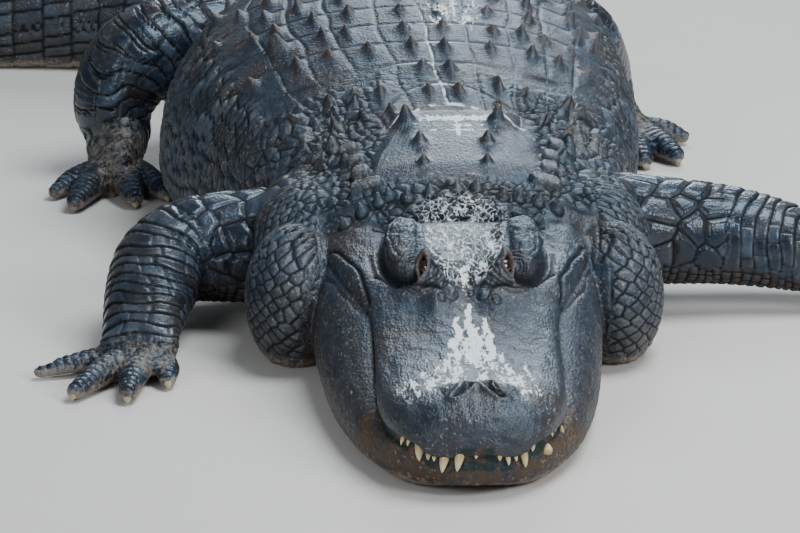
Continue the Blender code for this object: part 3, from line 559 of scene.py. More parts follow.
def head_top(x, s):
    """The height of the head's upper surface at half-breadth x."""
    half, lip, crown, power = (hermite(HEAD, c, s) for c in range(1, 5))
    r = np.minimum(np.abs(x) / half, 1.0)
    z = lip + (crown - lip) * (1 - r**power) ** (1 / power)
    ax = np.abs(x)
    inner = fade(r, 0.82, 1.0)
    nostril = bell(ax - 0.020, 0.026) * bell(s - 0.082, 0.030)
    ridge = bell(ax - 0.036 - 0.10 * (0.38 - s), 0.014) * bell(s - 0.365, 0.034)
    valley = bell(ax, 0.022) * ease(s, 0.30, 0.38) * fade(s, 0.42, 0.50)
    joint = bell(ax - 0.128, 0.034) * bell(s - 0.615, 0.060)
    z = z + inner * (0.008 * nostril + 0.007 * ridge + 0.012 * joint - 0.004 * valley)
    floor = 0.176 + 0.020 * ease(s, 0.43, 0.57)
    reach = lobe_reach(ax, s)
    round_ = np.maximum(1 - reach**2, 0)
    middle = fade(ax, 0.052, 0.070) * ease(s, 0.410, 0.455)
    table = np.maximum(middle, ease(round_, 0, 0.22)) * fade(s, 0.588, 0.612)
    z = z + table * (floor - z)
    lobe = round_ ** np.where(ax < LOBE_AT[0], 0.80, 0.50)
    lobe = lobe * (1 - 0.20 * bell(ax - 0.061, 0.006) * ease(s, 0.59, 0.50))
    brow = bell(ax - 0.046, 0.024) * np.where(s < 0.428, bell(s - 0.428, 0.033), 1)
    level = 0.186 + 0.008 * ease(s, 0.43, 0.52)
    hood = brow * np.maximum(level - z, 0) * fade(s, 0.47, 0.56)
    return z + np.maximum(0.0175 * lobe, hood)


def section(s, x, z):
    """Points across the head at one station."""
    return np.stack([x, np.full(len(x), s + SNOUT_Y), np.broadcast_to(z, len(x))], 1)


def head_rings():
    rings = []
    for s in np.concatenate([np.linspace(0, 0.03, 9), np.linspace(0.036, 0.675, 110)]):
        half, lip = hermite(HEAD, 1, s), hermite(HEAD, 2, s)
        x = half * np.sin(np.linspace(-np.pi / 2, np.pi / 2, 90))
        top = section(s, x, head_top(x, np.full(90, s)))
        under = section(s, half * np.linspace(0.985, -0.985, 30), lip - 0.003)
        rings.append(np.vstack([top, under]))
    return leaned(np.array(rings))


def jaw_lip(s):
    """The height of the lower jaw's rim. The gap to the upper lip closes towards the rear."""
    return hermite(HEAD, 2, s) - 0.003 - MOUTH_GAP * fade(s, 0.10, 0.34) + 0.002 * ease(s, 0.34, 0.40)


def jaw_rings():
    rings = []
    for s in np.concatenate([np.linspace(0.003, 0.03, 7), np.linspace(0.036, 0.66, 90)]):
        wide, level = hermite(JAW, 1, s), hermite(JAW, 2, s)
        lip, half = jaw_lip(s), hermite(HEAD, 1, s)
        rim = min(half * 0.985, wide * 0.985)
        foot = 0.018 * fade(s, 0.0, 0.07)
        up = np.sin(np.linspace(0, np.pi / 2, 16))
        outer = rim + (wide - rim) * (1 - up**2.0) ** 0.5
        upper = np.stack([outer, level + (lip - level) * up], 1)
        a = np.linspace(0, np.pi / 2, 12)[1:]
        corner = min(0.045, wide * 0.5)
        lower = np.stack([wide - corner + corner * np.cos(a), level - (level - foot) * np.sin(a)], 1)
        inner = np.stack([np.linspace(rim * 0.8, 0, 12), np.full(12, lip - 0.001)], 1)
        bottom = np.stack([np.linspace(0, (wide - corner) * 0.9, 10), np.full(10, foot)], 1)
        half_ring = np.vstack([bottom, lower[::-1], upper, inner])
        other = half_ring[1:-1][::-1] * (-1, 1)
        rings.append(section(s, *np.vstack([half_ring, other]).T))
    return leaned(np.array(rings))


def leaned(points):
    """Moves head points sideways as the head sits in the photograph."""
    out = points.copy()
    out[..., 0] += HEAD_SHIFT + HEAD_LEAN * points[..., 2]
    return out


def gum_rings():
    """The gums that close the mouth a little way behind the lips."""
    rings = []
    for s in np.linspace(0.006, 0.36, 60):
        plan = max(s - 0.005, 0.0)
        half, lip = hermite(HEAD, 1, plan) - 0.0045, hermite(HEAD, 2, s)
        x = half * np.linspace(-1, 1, 24)
        rings.append(np.vstack([section(s, x, lip + 0.010), section(s, x[::-1] * 0.985, lip - 0.030)]))
    return leaned(np.array(rings))


def ball_rings(centre, radii, sides=48, rows=28):
    a = np.linspace(0.04, np.pi - 0.04, rows)
    b = np.linspace(0, 2 * np.pi, sides, endpoint=False)
    unit = np.stack([
        np.outer(np.sin(a), np.cos(b)),
        np.repeat(np.cos(a)[:, None], sides, 1),
        np.outer(np.sin(a), np.sin(b)),
    ], 2)
    return np.asarray(centre) + unit * np.asarray(radii)


def closed_faces(rings, offset):
    """Quads between rings and fans over both ends, as triangles."""
    n, m = rings.shape[:2]
    i, j = np.meshgrid(np.arange(n - 1), np.arange(m), indexing="ij")
    a, b = i * m + j, i * m + (j + 1) % m
    c, d = b + m, a + m
    tris = [np.stack([a, b, c], 2).reshape(-1, 3), np.stack([a, c, d], 2).reshape(-1, 3)]
    k = np.arange(m)
    first, last = n * m, n * m + 1
    tris.append(np.stack([np.full(m, first), (k + 1) % m, k], 1))
    tris.append(np.stack([np.full(m, last), (n - 1) * m + k, (n - 1) * m + (k + 1) % m], 1))
    points = np.vstack([rings.reshape(-1, 3), rings[0].mean(0), rings[-1].mean(0)])
    return points, np.vstack(tris) + offset


def joined_rings(ring_sets):
    """The points and the triangles of several closed forms."""
    points, faces, offset = [], [], 0
    for rings in ring_sets:
        p, f = closed_faces(rings, offset)
        points.append(p)
        faces.append(f)
        offset += len(p)
    return np.vstack(points), np.vstack(faces)


def mesh_object(name, points, faces):
    """A mesh object from arrays of points and of triangles or quads."""
    mesh = bpy.data.meshes.new(name)
    size = faces.shape[1]
    mesh.vertices.add(len(points))
    mesh.vertices.foreach_set("co", np.ascontiguousarray(points, np.float32).ravel())
    mesh.loops.add(faces.size)
    mesh.loops.foreach_set("vertex_index", np.ascontiguousarray(faces, np.int32).ravel())
    mesh.polygons.add(len(faces))
    mesh.polygons.foreach_set("loop_start", np.arange(0, faces.size, size, dtype=np.int32))
    mesh.update(calc_edges=True)
    mesh.validate()
    obj = bpy.data.objects.new(name, mesh)
    bpy.context.scene.collection.objects.link(obj)
    return obj


# The stretched space of the remesh


STRETCH_Y = np.linspace(-1.6, 2.2, 3801)
STRETCH_K = 1 + (FINE - 1) * fade(STRETCH_Y, FINE_FROM, COARSE_FROM)
STRETCH_STEPS = (STRETCH_K[1:] + STRETCH_K[:-1]) / 2 * (STRETCH_Y[1] - STRETCH_Y[0])
STRETCH_SUM = np.concatenate([[0], np.cumsum(STRETCH_STEPS)])


def stretch(points):
    k = np.interp(points[:, 1], STRETCH_Y, STRETCH_K)
    return np.stack([points[:, 0] * k, np.interp(points[:, 1], STRETCH_Y, STRETCH_SUM), points[:, 2] * k], 1)


def unstretch(points):
    y = np.interp(points[:, 1], STRETCH_SUM, STRETCH_Y)
    k = np.interp(y, STRETCH_Y, STRETCH_K)
    return np.stack([points[:, 0] / k, y, points[:, 2] / k], 1)


def tubes():
    """Every limb and digit as a Tube."""
    out = {}
    for name, stations in LIMBS.items():
        out[name] = Tube(stations)
        for number, (root, knuckle, tip, radius, _) in enumerate(DIGITS[name]):
            shapes = (root, 1.05, 1.0), (knuckle, 1.0, 0.92), (tip, 0.66, 0.60)
            rows = [(*at, radius * half, radius * tall) for at, half, tall in shapes]
            out[f"{name}_{number}"] = Tube(rows, 10)
    return out


def base_rings(limbs):
    phi = np.linspace(-np.pi, np.pi, 144, endpoint=False)
    stations = np.linspace(0.50, TOTAL_LENGTH, 380)
    s, a = np.meshgrid(stations, phi, indexing="ij")
    out = [body_surface(s, a), head_rings(), jaw_rings(), gum_rings()]
    for (x, s0, z), radii in JOWLS:
        for side in (-1, 1):
            out.append(ball_rings((side * x + 0.006, s0 + SNOUT_Y, z), radii))
    for tube in limbs.values():
        out.append(tube.rings())
    return out


def joined_skin(limbs):
    """The base forms as one closed surface: its points and its quads."""
    points, faces = joined_rings(base_rings(limbs))
    raw = mesh_object("base", stretch(points), faces)
    remesh = raw.modifiers.new("remesh", "REMESH")
    remesh.mode = "VOXEL"
    remesh.voxel_size = VOXEL
    graph = bpy.context.evaluated_depsgraph_get()
    mesh = bpy.data.meshes.new_from_object(raw.evaluated_get(graph))
    bpy.data.objects.remove(raw)
    count = len(mesh.vertices)
    co = np.empty(count * 3, np.float32)
    mesh.vertices.foreach_get("co", co)
    corner = np.empty(len(mesh.loops), np.int32)
    mesh.loops.foreach_get("vertex_index", corner)
    bpy.data.meshes.remove(mesh)
    return outer_surface(unstretch(co.reshape(-1, 3).astype(float)), corner.reshape(-1, 4))


def outer_surface(points, quads):
    """The largest connected surface only."""
    label = np.arange(len(points))
    while True:
        low = label[quads].min(1)
        new = label.copy()
        for c in range(4):
            np.minimum.at(new, label[quads[:, c]], low)
            np.minimum.at(new, quads[:, c], low)
        new = new[new]
        if (new == label).all():
            break
        label = new
    values, counts = np.unique(label, return_counts=True)
    keep = label == values[np.argmax(counts)]
    number = np.cumsum(keep) - 1
    return points[keep], number[quads[keep[quads].all(1)]]


class Smoother:
    """Averages over each point's neighbours."""

    def __init__(self, count, quads):
        a = quads.ravel()
        b = np.roll(quads, -1, axis=1).ravel()
        self.a, self.b, self.count = np.concatenate([a, b]), np.concatenate([b, a]), count
        self.degree = np.maximum(np.bincount(self.a, minlength=count), 1)

    def mean(self, values):
        if values.ndim == 1:
            return np.bincount(self.a, weights=values[self.b], minlength=self.count) / self.degree
        return np.stack([self.mean(values[:, c]) for c in range(values.shape[1])], 1)

    def relax(self, values, rounds, amount=0.5):
        for _ in range(rounds):
            w = amount if np.ndim(amount) == 0 or values.ndim == 1 else amount[:, None]
            values = values + w * (self.mean(values) - values)
        return values


def point_normals(points, quads):
    p = points[quads]
    face = np.cross(p[:, 2] - p[:, 0], p[:, 3] - p[:, 1])
    out = np.zeros_like(points)
    for c in range(4):
        for k in range(3):
            out[:, k] += np.bincount(quads[:, c], weights=face[:, k], minlength=len(points))
    return out / np.maximum(np.linalg.norm(out, axis=1), 1e-12)[:, None]


# Where each point is on the body


def spine_place(points):
    """Each point's station, its sideways distance from the spine, and the spine's direction there."""
    s = points[:, 1] - SNOUT_Y
    off = points[:, 0].copy()
    way = np.tile([0.0, 1.0], (len(points), 1))
    rear = np.nonzero(points[:, 1] > BEND_START + SNOUT_Y - 0.05)[0]
    pick = np.arange(int((BEND_START - 0.2) / PATH_STEP), len(PATH_S), 8)
    centre = np.stack([PATH_X[pick], PATH_Y[pick]], 1)
    a = heading(PATH_S[pick])
    ahead = np.stack([np.cos(a), np.sin(a)], 1)
    for start in range(0, len(rear), CHUNK):
        part = rear[start : start + CHUNK]
        p = points[part, :2]
        i = np.argmin(((p[:, None] - centre[None]) ** 2).sum(2), axis=1)
        gap = p - centre[i]
        along = (gap * ahead[i]).sum(1)
        s[part] = PATH_S[pick][i] + along
        off[part] = gap[:, 0] * ahead[i, 1] - gap[:, 1] * ahead[i, 0]
        way[part] = ahead[i]
    return s, off, way


def arc_table():
    """The distance round the section from the midline of the back, by station and angle."""
    stations, angles = np.linspace(0.5, TOTAL_LENGTH, 120), np.linspace(0, np.pi, 129)
    s, a = np.meshgrid(stations, angles, indexing="ij")
    step = np.linalg.norm(np.diff(body_surface(s, a), axis=1), axis=2)
    return stations, angles, np.concatenate([np.zeros((120, 1)), np.cumsum(step, 1)], 1)


def arc_of(s, phi):
    stations, angles, table = arc_table()
    x = np.clip((s - stations[0]) / (stations[1] - stations[0]), 0, len(stations) - 1.001)
    y = np.clip(phi / (angles[1] - angles[0]), 0, len(angles) - 1.001)
    i, j = x.astype(int), y.astype(int)
    u, v = x - i, y - j
    return (
        table[i, j] * (1 - u) * (1 - v) + table[i + 1, j] * u * (1 - v)
        + table[i, j + 1] * (1 - u) * v + table[i + 1, j + 1] * u * v
    )


class Skin:
    """The skin's points, where each is on the animal, and the relief and masks that the scales build up."""

    LAYERS = (
        "rise", "back", "limb", "head", "groove", "tone", "salt", "mud", "crease", "gloss", "brown", "dark",
        "fine", "seam", "crackle", "strands",
    )

    def __init__(self, points, quads):
        self.quads = quads
        self.rest = points
        self.z = points[:, 2]
        self.normal = point_normals(points, quads)
        self.s, self.off, self.way = spine_place(points)
        half, _, wide, shift, lean = (hermite(BODY, c, self.s) for c in range(1, 6))
        self.half = half
        self.across = self.off - shift - lean * points[:, 2]
        self.share = self.across / half
        inner = np.clip(np.abs(self.share), 0, 1)
        upper = points[:, 2] >= wide
        over, under = np.arcsin(inner ** (1 / UPPER_POWER)), np.arcsin(inner ** (1 / LOWER_POWER))
        self.arc = arc_of(self.s, np.where(upper, over, np.pi - under))
        self.side = np.sign(self.across)
        self.hx = points[:, 0] - HEAD_SHIFT - HEAD_LEAN * points[:, 2]
        self.hs = points[:, 1] - SNOUT_Y
        for layer in self.LAYERS:
            setattr(self, layer, np.zeros(len(points)))
        self.tone += 0.5

    def head_place(self):
        """Each point's x and s on the head, its height, and its distance from the head's middle."""
        return self.hx, self.hs, self.z, np.abs(self.hx)

    def mark(self, at=slice(None), **masks):
        """Raises each named mask to at least the given value, at the given points."""
        for name, value in masks.items():
            mask = getattr(self, name)
            mask[at] = np.maximum(mask[at], value)

    def swap(self, share, at=slice(None), **layers):
        """Puts new values in the place of the old ones, by the given share."""
        for name, value in layers.items():
            layer = getattr(self, name)
            layer[at] = layer[at] * (1 - share) + share * value

    def moved(self):
        """The points moved out by the relief, with keels leaning to the rear, and none under the floor."""
        ahead = np.stack([self.way[:, 0], self.way[:, 1], np.zeros(len(self.rest))], 1)
        out = self.rest + self.normal * self.rise[:, None] + ahead * self.back[:, None]
        out[:, 2] = np.maximum(out[:, 2], np.where(self.rest[:, 2] < 0.004, 0, 0.0005))
        return out


def mark_regions(skin, limbs):
    """How far each point belongs to the limbs and to the head."""
    body = np.abs(skin.share)
    for name, tube in limbs.items():
        i, t, _, q = tube.locate(skin.rest)
        if name in LIMBS:
            start = 0.86 if name.startswith("arm") else 0.90
            skin.mark(i, limb=ease(q, 1.5, 1.15) * ease(body[i], start, start + 0.16) * ease(t, 0.02, 0.07))
        else:
            skin.mark(i, limb=ease(q, 1.5, 1.2))
    half = hermite(HEAD, 1, skin.hs)
    wide = hermite(JAW, 1, skin.hs)
    above = skin.z > hermite(HEAD, 2, skin.hs)
    reach = np.where(above, half + 0.008, wide + 0.006)
    within = fade(np.abs(skin.hx), reach, reach + 0.012)
    end = 0.598 + 0.062 * ease(np.abs(skin.hx), 0.095, 0.135)
    skin.head = within * fade(skin.hs, end, end + 0.025) * (skin.hs < 0.70)
    skin.head[skin.hs < 0.40] = 1.0


def scale_back(skin):
    """Keeled plates in rows along the back."""
    arch = 0.040 * np.minimum((skin.across / 0.07) ** 2, 1.6) * fade(skin.s, 0.96, 1.06)
    bent = skin.s + arch
    u = (bent - PLATE_START) / PLATE_PITCH
    row = np.floor(u)
    f = u - row
    where = ease(bent, PLATE_START - 0.004, PLATE_START + 0.01)
    where = where * fade(skin.s, PLATE_END, PLATE_END + 0.06)
    where = where * fade(np.abs(skin.share), 0.80, 0.86) * (1 - skin.limb) * (skin.z > BACK_FROM)
    wobble = 0.004 * waves(skin.rest, 0.06, 1)
    side = np.abs(skin.across) + wobble
    previous = 0.0
    seam = np.full(len(u), FAR)
    for k, (place, rise) in enumerate(COLUMNS):
        seed = k * 2 + (skin.side > 0) * 1.0
        jog = (hash01(row, seed, 11) - 0.5) * 0.012
        w = side - place * skin.half * (1 + 0.3 * jog / 0.012) + jog
        tall = rise * (0.75 + 0.5 * hash01(row, seed, 13))
        peak = 0.62 + 0.14 * hash01(row, seed, 17)
        crest = ease(f, 0.05, peak) ** 2.0 * fade(f, peak, 0.96)
        narrow = 0.0048 + 0.0015 * hash01(row, seed, 19)
        keel = where * tall * crest * (0.72 * bell(w, narrow) + 0.28 * bell(w, narrow * 2.8))
        skin.rise += keel
        skin.back += keel * 0.60
        tip = where * crest * bell(w, narrow * 1.5)
        skin.mark(brown=tip * (0.45 + 0.5 * hash01(row, seed, 23)))
        if k:
            seam = np.minimum(seam, np.abs(side - (previous + place) / 2 * skin.half))
        previous = place
    seam = np.minimum(seam, np.abs(skin.across + wobble))
    across_seam = np.minimum(f, 1 - f) * PLATE_PITCH
    edge = np.minimum(seam, across_seam)
    skin.rise += where * (0.0016 * dome(edge, 0.006) - 0.0010)
    outward = 0.20 + 0.40 * ease(np.abs(skin.share), 0.25, 0.60)
    skin.mark(groove=where * bell(edge, 0.0018) * outward * (0.6 + 0.4 * waves(skin.rest, 0.05, 3)))
    skin.tone = np.where(where > 0.5, 0.35 + 0.3 * hash01(row, np.round(skin.across / 0.07), 29), skin.tone)
    skin.mark(fine=where)

    # Dried white in the seams at the front of the back
    middle = bell(skin.across - 0.004, 0.075)
    lines = np.maximum(bell(across_seam, 0.0022) * middle, bell(skin.across + wobble, 0.0024))
    lines = np.maximum(lines, bell(seam, 0.0018) * 0.55)
    skin.mark(seam=where * lines * fade(skin.s, 1.05, 1.45))
    first = bell(bent - PLATE_START - 0.004, 0.0045) * ease(0.110 - np.abs(skin.across - 0.01), 0, 0.03)
    skin.mark(seam=first * (skin.z > 0.2))


def scale_flanks(skin):
    """Slanting rows of beads down the flanks, larger ones beside the back's plates, and belly squares."""
    body = (1 - skin.limb) * (1 - skin.head)
    share = np.abs(skin.share)
    start = ease(skin.s, 0.94, 1.02) * fade(skin.s, 1.84, 1.94)
    low = np.where(skin.z > 0.10, ease(share, 0.80, 0.86), 1.0)
    where = start * low * body * ease(skin.normal[:, 2], -0.94, -0.86)
    along = skin.s + 0.010 * waves(skin.rest, 0.16, 31)
    round_ = skin.arc + 0.35 * (skin.s - 1.3) + 0.008 * waves(skin.rest, 0.12, 32)
    between, inside, number, _ = bricks(along, FLANK_SIZE[0], round_, FLANK_SIZE[1], 0.4, 33)
    edge = np.minimum(between, inside)
    tall = 0.0024 + 0.0022 * number
    skin.rise += where * tall * 1.3 * (dome(edge, 0.0070) - 0.5)
    skin.mark(groove=where * bell(edge, 0.0022) * 0.8)
    skin.tone = np.where(where > 0.5, number, skin.tone)
    # Pale crowns on some beads: painted highlight
    skin.mark(crease=where * dome(edge, 0.007) * 0.22 * ease(number, 0.35, 0.8))
    big = start * body * bell(share - 0.855, 0.045) * (skin.z > BACK_FROM)
    f = skin.s / 0.036 + 0.4 * waves(skin.rest, 0.10, 34)
    knob = (0.5 + 0.5 * np.cos(2 * np.pi * f)) ** 1.5
    skin.rise += big * knob * 0.0055
    skin.mark(crease=big * knob * 0.45)
    under = fade(skin.normal[:, 2], -0.94, -0.86) * body
    between, inside, _, _ = bricks(skin.s, BELLY_SIZE[0], skin.off, BELLY_SIZE[1], 0.1, 35)
    edge = np.minimum(between, inside)
    skin.mark(groove=under * bell(edge, 0.002))
    skin.mark(brown=under * 0.8)


def neck_region(skin):
    return (1 - skin.head) * (1 - skin.limb) * fade(skin.s, 0.93, 1.04)


def scale_jowls(skin):
    """A lattice of scales on the jowls, large plates on the shoulders and small polygons between them."""
    region = neck_region(skin)
    side = np.abs(skin.across)
    edge_at = np.interp(skin.s, [0.68, 0.905], [0.118, 0.090]) + 0.010 * waves(skin.rest, 0.05, 43)
    top = region * fade(side, edge_at, edge_at + 0.020) * ease(skin.s, 0.680, 0.715)
    i = np.nonzero(region * (1 - top) > 0.01)[0]
    p = skin.rest[i] + 0.004 * np.stack([waves(skin.rest[i], 0.05, 41 + k) for k in range(3)], 1)
    sideways = np.abs(p[:, 0])
    off = sideways - 0.130, SNOUT_Y + 0.715 - p[:, 1]
    over, up = 0.120 * np.arctan2(*off) / 0.0165, p[:, 2] / 0.0205
    scale = 0.0130
    lattice = np.stack([over + up, over - up], 1) * scale
    found = (
        cells(lattice, (scale, scale), 0.42, 45),
        cells(p, SHOULDER_SIZE, 0.8, 46),
        cells(p, NECK_SIZE, 0.75, 47),
    )

    # 0 is the jowl's lattice, 1 the shoulder's plates, 2 the small polygons
    clear = ease(np.hypot(*off), 0.075, 0.085)
    jowl = ease(p[:, 1], SNOUT_Y + 0.79, SNOUT_Y + 0.74) * ease(sideways, 0.135, 0.150) * clear
    plate = (1 - jowl) * ease(sideways, 0.150, 0.185) * ease(p[:, 1], SNOUT_Y + 0.72, SNOUT_Y + 0.77)
    kind = np.argmax(np.stack([jowl, plate, 0.5 + 0 * jowl]), axis=0)
    edge = np.choose(kind, [edge for edge, _ in found])
    number = np.choose(kind, [number for _, number in found])
    w = (region * (1 - top))[i]
    tall = np.choose(kind, [0.0020 + 0 * number, 0.0040 + 0.0020 * number, 0.0024 + 0.0016 * number])
    skin.rise[i] += w * tall * (dome(edge, np.choose(kind, [0.0050, 0.0080, 0.0050])) - 0.6)
    skin.mark(i, groove=w * bell(edge, 0.0014) * 0.85)
    pale = bell(edge - 0.0030, 0.0014) * np.choose(kind, [0.80, 0.35, 0.35]) * (0.45 + 0.55 * number)
    skin.mark(i, crease=w * pale)
    shade = np.where(kind == 0, 0.60 + 0.50 * number, 0.20 + 0.8 * number)
    skin.tone[i] = np.where(w > 0.5, shade, skin.tone[i])
    warts = w * ease(skin.s[i], 0.60, 0.80) * (kind == 2) * ease(number, 0.70, 0.85) * (skin.z[i] > BACK_FROM)
    skin.rise[i] += warts * 0.0024 * dome(edge, 0.007)
    skin.mark(i, crease=warts * 0.35 * dome(edge, 0.005))


def fold_neck(skin):
    """Folds across the neck behind the head."""
    behind = neck_region(skin) * bell(skin.hs - 0.612, 0.026) * (skin.z > TOP_FROM)
    bent = skin.hs + 0.020 * (np.abs(skin.across) / 0.15) ** 2 + 0.004 * waves(skin.rest, 0.05, 51)
    fold = np.sin(2 * np.pi * bent / 0.0135)
    skin.rise += behind * 0.0035 * fold
    skin.mark(groove=behind * ease(-fold, 0.55, 0.95))


def scale_nape(skin):
    """The nape's shield, wider towards the head, with its keels, the blocks beside it and the spikes."""
    side = np.abs(skin.across)
    edge_at = np.interp(skin.s, [0.68, 0.885], [0.120, 0.072]) + 0.008 * waves(skin.rest, 0.05, 53)
    shield = fade(side, edge_at, edge_at + 0.024) * ease(skin.s, 0.675, 0.74)
    shield = shield * fade(skin.s, 0.888, 0.906)
    shield = shield * (1 - skin.head) * (skin.z > CROWN_FROM)
    skin.rise += 0.006 * shield
    skin.mark(gloss=0.45 * shield)
    skin.fine = skin.fine * (1 - 0.9 * shield)
    skin.strands = shield * ease(side, 0.040, 0.075)
    for sign, (s, lateral, rise, width) in both_sides(NAPE_KEELS):
        x, y = skin.across - sign * lateral, skin.s - s
        away = np.sqrt((x / width) ** 2 + (y / (width * 1.35)) ** 2)
        near = (away < 3) * (skin.z > CROWN_FROM) * (1 - skin.limb)
        keel = rise * near * (0.65 * fade(away, 0.05, 1.05) + 0.35 * bell(away, 1.1))
        skin.rise += keel
        skin.back += keel * 0.45
        skin.mark(brown=ease(keel / rise, 0.45, 1.0) * 0.9)
    for sign, (s, lateral) in both_sides(NAPE_BLOCKS):
        x, y = np.abs(skin.across - sign * lateral), np.abs(skin.s - s - 0.004 * sign)
        box = np.maximum(x, y) + 0.15 * np.minimum(x, y)
        block = fade(box, 0.0095, 0.0145) * (skin.z > TOP_FROM) * (1 - skin.head)
        skin.swap(block, rise=0.0115, groove=0)
        skin.crease = np.maximum(skin.crease * (1 - block), 0.60 * ease(block, 0.5, 1.0))
    for k, lateral in enumerate(SPIKES):
        jog = 0.006 * ((k * 5) % 4 - 1.5) / 1.5
        x, y = skin.across - lateral, skin.s - SPIKE_STATION - jog + 0.8 * lateral**2
        away = np.sqrt(x**2 + (y * 0.8) ** 2)
        cone = np.clip(1 - away / 0.0090, 0, 1) ** 1.15 * (skin.z > CROWN_FROM)
        clear = fade(away, 0.006, 0.011) * (skin.z > CROWN_FROM)
        skin.rise = skin.rise * (1 - clear) + 0.0175 * cone
        skin.back += 0.007 * cone
        ring = bell(away - 0.0092, 0.0018) * 0.9 * (away < 0.02)
        skin.groove = np.maximum(skin.groove * (1 - clear), ring)
        skin.tone = np.where(cone > 0.2, 0.8, skin.tone)


def scale_tail(skin):
    """Whorls of upright rectangles round the tail, and its crest of blades."""
    body = 1 - skin.limb
    where = ease(skin.s, 1.86, 1.98) * body
    u = skin.s / WHORL_PITCH
    f = u - np.floor(u)
    above = skin.z > hermite(BODY, 3, skin.s)
    height = np.where(above, WHORL_WIDTH, WHORL_WIDTH_BELOW) * (0.55 + 0.45 * (skin.half / 0.18) ** 0.5)
    round_ = skin.arc / height * WHORL_WIDTH
    between, inside, number, _ = bricks(skin.s, WHORL_PITCH, round_, WHORL_WIDTH, 0.1, 61)
    edge = np.minimum(between, inside * height / WHORL_WIDTH)
    skin.rise += where * 0.0028 * (dome(edge, 0.006) - 0.6)
    skin.mark(groove=where * bell(edge, 0.0028))
    skin.tone = np.where(where > 0.5, number, skin.tone)
    half = skin.half
    merge = ease(skin.s, CREST_MERGE - 0.45, CREST_MERGE)
    grow = ease(skin.s, 1.80, 2.75)
    slim = 1 - 0.75 * ease(skin.s, 3.55, TOTAL_LENGTH)
    place = (0.62 - 0.30 * grow) * (1 - merge) * half
    blade = ease(f, 0.0, 0.72) * fade(f, 0.76, 1.0)
    thick = np.minimum(0.0075, 0.35 * half)
    across = np.abs(skin.across)
    ridge = bell(across - place, thick) * above
    crest = ridge * blade * ease(skin.s, 1.84, 1.95) * body * CREST_RISE * (0.30 + 0.70 * grow) * slim
    skin.rise += crest * 0.85
    skin.back += crest * 0.25
    skin.mark(brown=ease(crest / CREST_RISE, 0.5, 1.0) * 0.4)


def scale_upper_limb(skin, name, tube):
    """Large plates down to the elbow or knee, bands below them, and small squares on the inner side."""
    i, t, angle, q = tube.locate(skin.rest)
    round_ = angle * np.interp(t, tube.t, (tube.half + tube.tall) / 2)
    p = skin.rest[i]
    w = ease(q, 1.5, 1.15) * ease(np.abs(skin.share[i]), 0.86, 1.02) * ease(t, 0.02, 0.07)
    large = fade(t, PLATES_UNTIL[name] - 0.03, PLATES_UNTIL[name] + 0.01)
    bent = t + 0.006 * waves(p, 0.09, 71) + 0.004 * waves(p, 0.035, 70)
    bent = bent + 0.010 * np.sin(2 * angle + 0.6) - 0.010 * np.sin(angle)
    if name.startswith("arm"):
        under = ease(-np.sin(angle), 0.25, 0.7)
    else:
        under = ease(-p[:, 2], -0.07, -0.03)
    flat = np.stack([bent, round_ + 0.004 * waves(p, 0.05, 72)], 1)
    edge1, number1 = cells(flat, LIMB_PLATE_SIZE, 0.62, 73)
    wavy = round_ + 0.005 * waves(p, 0.05, 74)
    between, inside, number2, up = bricks(bent, BAND_SIZE[0], wavy, BAND_SIZE[1], 0.9, 75)
    between3, inside3, number3, _ = bricks(bent, INNER_SIZE[0], round_, INNER_SIZE[1], 0.5, 77)
    edge3 = np.minimum(between3, inside3)
    rise1 = 0.0042 * (dome(edge1, 0.0085) ** 0.8 - 0.7)
    rise2 = 0.0019 * (dome(between, 0.0040) - 0.5) + 0.0024 * (up - 0.5) + 0.0015 * (dome(inside, 0.0040) - 1)
    rise3 = 0.0030 * (dome(edge3, 0.005) - 0.5)
    rise = (large * rise1 + (1 - large) * rise2) * (1 - under) + rise3 * under
    seams = np.maximum(bell(between, 0.0019), 0.75 * bell(inside, 0.0018))
    groove = large * 0.9 * bell(edge1, 0.0021) + (1 - large) * seams
    groove = groove * (1 - under) + under * bell(edge3, 0.0018)
    pale = np.maximum(bell(inside, 0.0011) * 0.9, bell(between - 0.0036, 0.0011) * 0.55)
    crease = (1 - large) * (1 - under) * pale
    crease = crease + large * (1 - under) * bell(edge1 - 0.0042, 0.0012) * 0.6
    number = np.where(under > 0.5, number3, np.where(large > 0.5, number1, number2))
    paw = ease(t, BANDS_UNTIL[name] - 0.08, BANDS_UNTIL[name] + 0.02)
    skin.mark(i, mud=w * paw * 0.24, brown=w * under * 0.75, gloss=w * (1 - 0.6 * paw))
    skin.swap(w, i, rise=rise, groove=groove, crease=crease)
    skin.tone[i] = np.where(w > 0.5, number, skin.tone[i])


def scale_digit(skin, name, tube):
    """Small rings of scales."""
    i, t, angle, q = tube.locate(skin.rest)
    round_ = angle * np.interp(t, tube.t, (tube.half + tube.tall) / 2)
    p = skin.rest[i]
    w = ease(q, 1.45, 1.18) * ease(t, 0.004, 0.016)
    along = t + 0.0015 * waves(p, 0.02, 78)
    between, inside, number, up = bricks(along, DIGIT_SIZE[0], round_, DIGIT_SIZE[1], 0.6, 79)
    top = ease(np.sin(angle), -0.3, 0.2)
    rise = dome(between, 0.0032) - 0.5 + (up - 0.5) + (dome(inside, 0.003) - 1)
    groove = np.maximum(bell(between, 0.0017) * 0.85, bell(inside, 0.0015) * 0.5) * top
    crease = bell(inside, 0.0010) * 0.5 * top
    middle = bell(t / tube.t[-1] - 0.42, 0.30)
    rear = 0.6 if name.startswith("leg") else 1.0
    skin.mark(i, mud=w * (0.20 * middle + 0.25 * (1 - top)) * rear, gloss=w * 0.6)
    skin.swap(w, i, rise=0.0010 * rise * top, groove=groove, crease=crease)
    skin.tone[i] = np.where(w > 0.5, number, skin.tone[i])


def scale_limbs(skin, limbs):
    for name, tube in limbs.items():
        if name in LIMBS:
            scale_upper_limb(skin, name, tube)
        else:
            scale_digit(skin, name, tube)


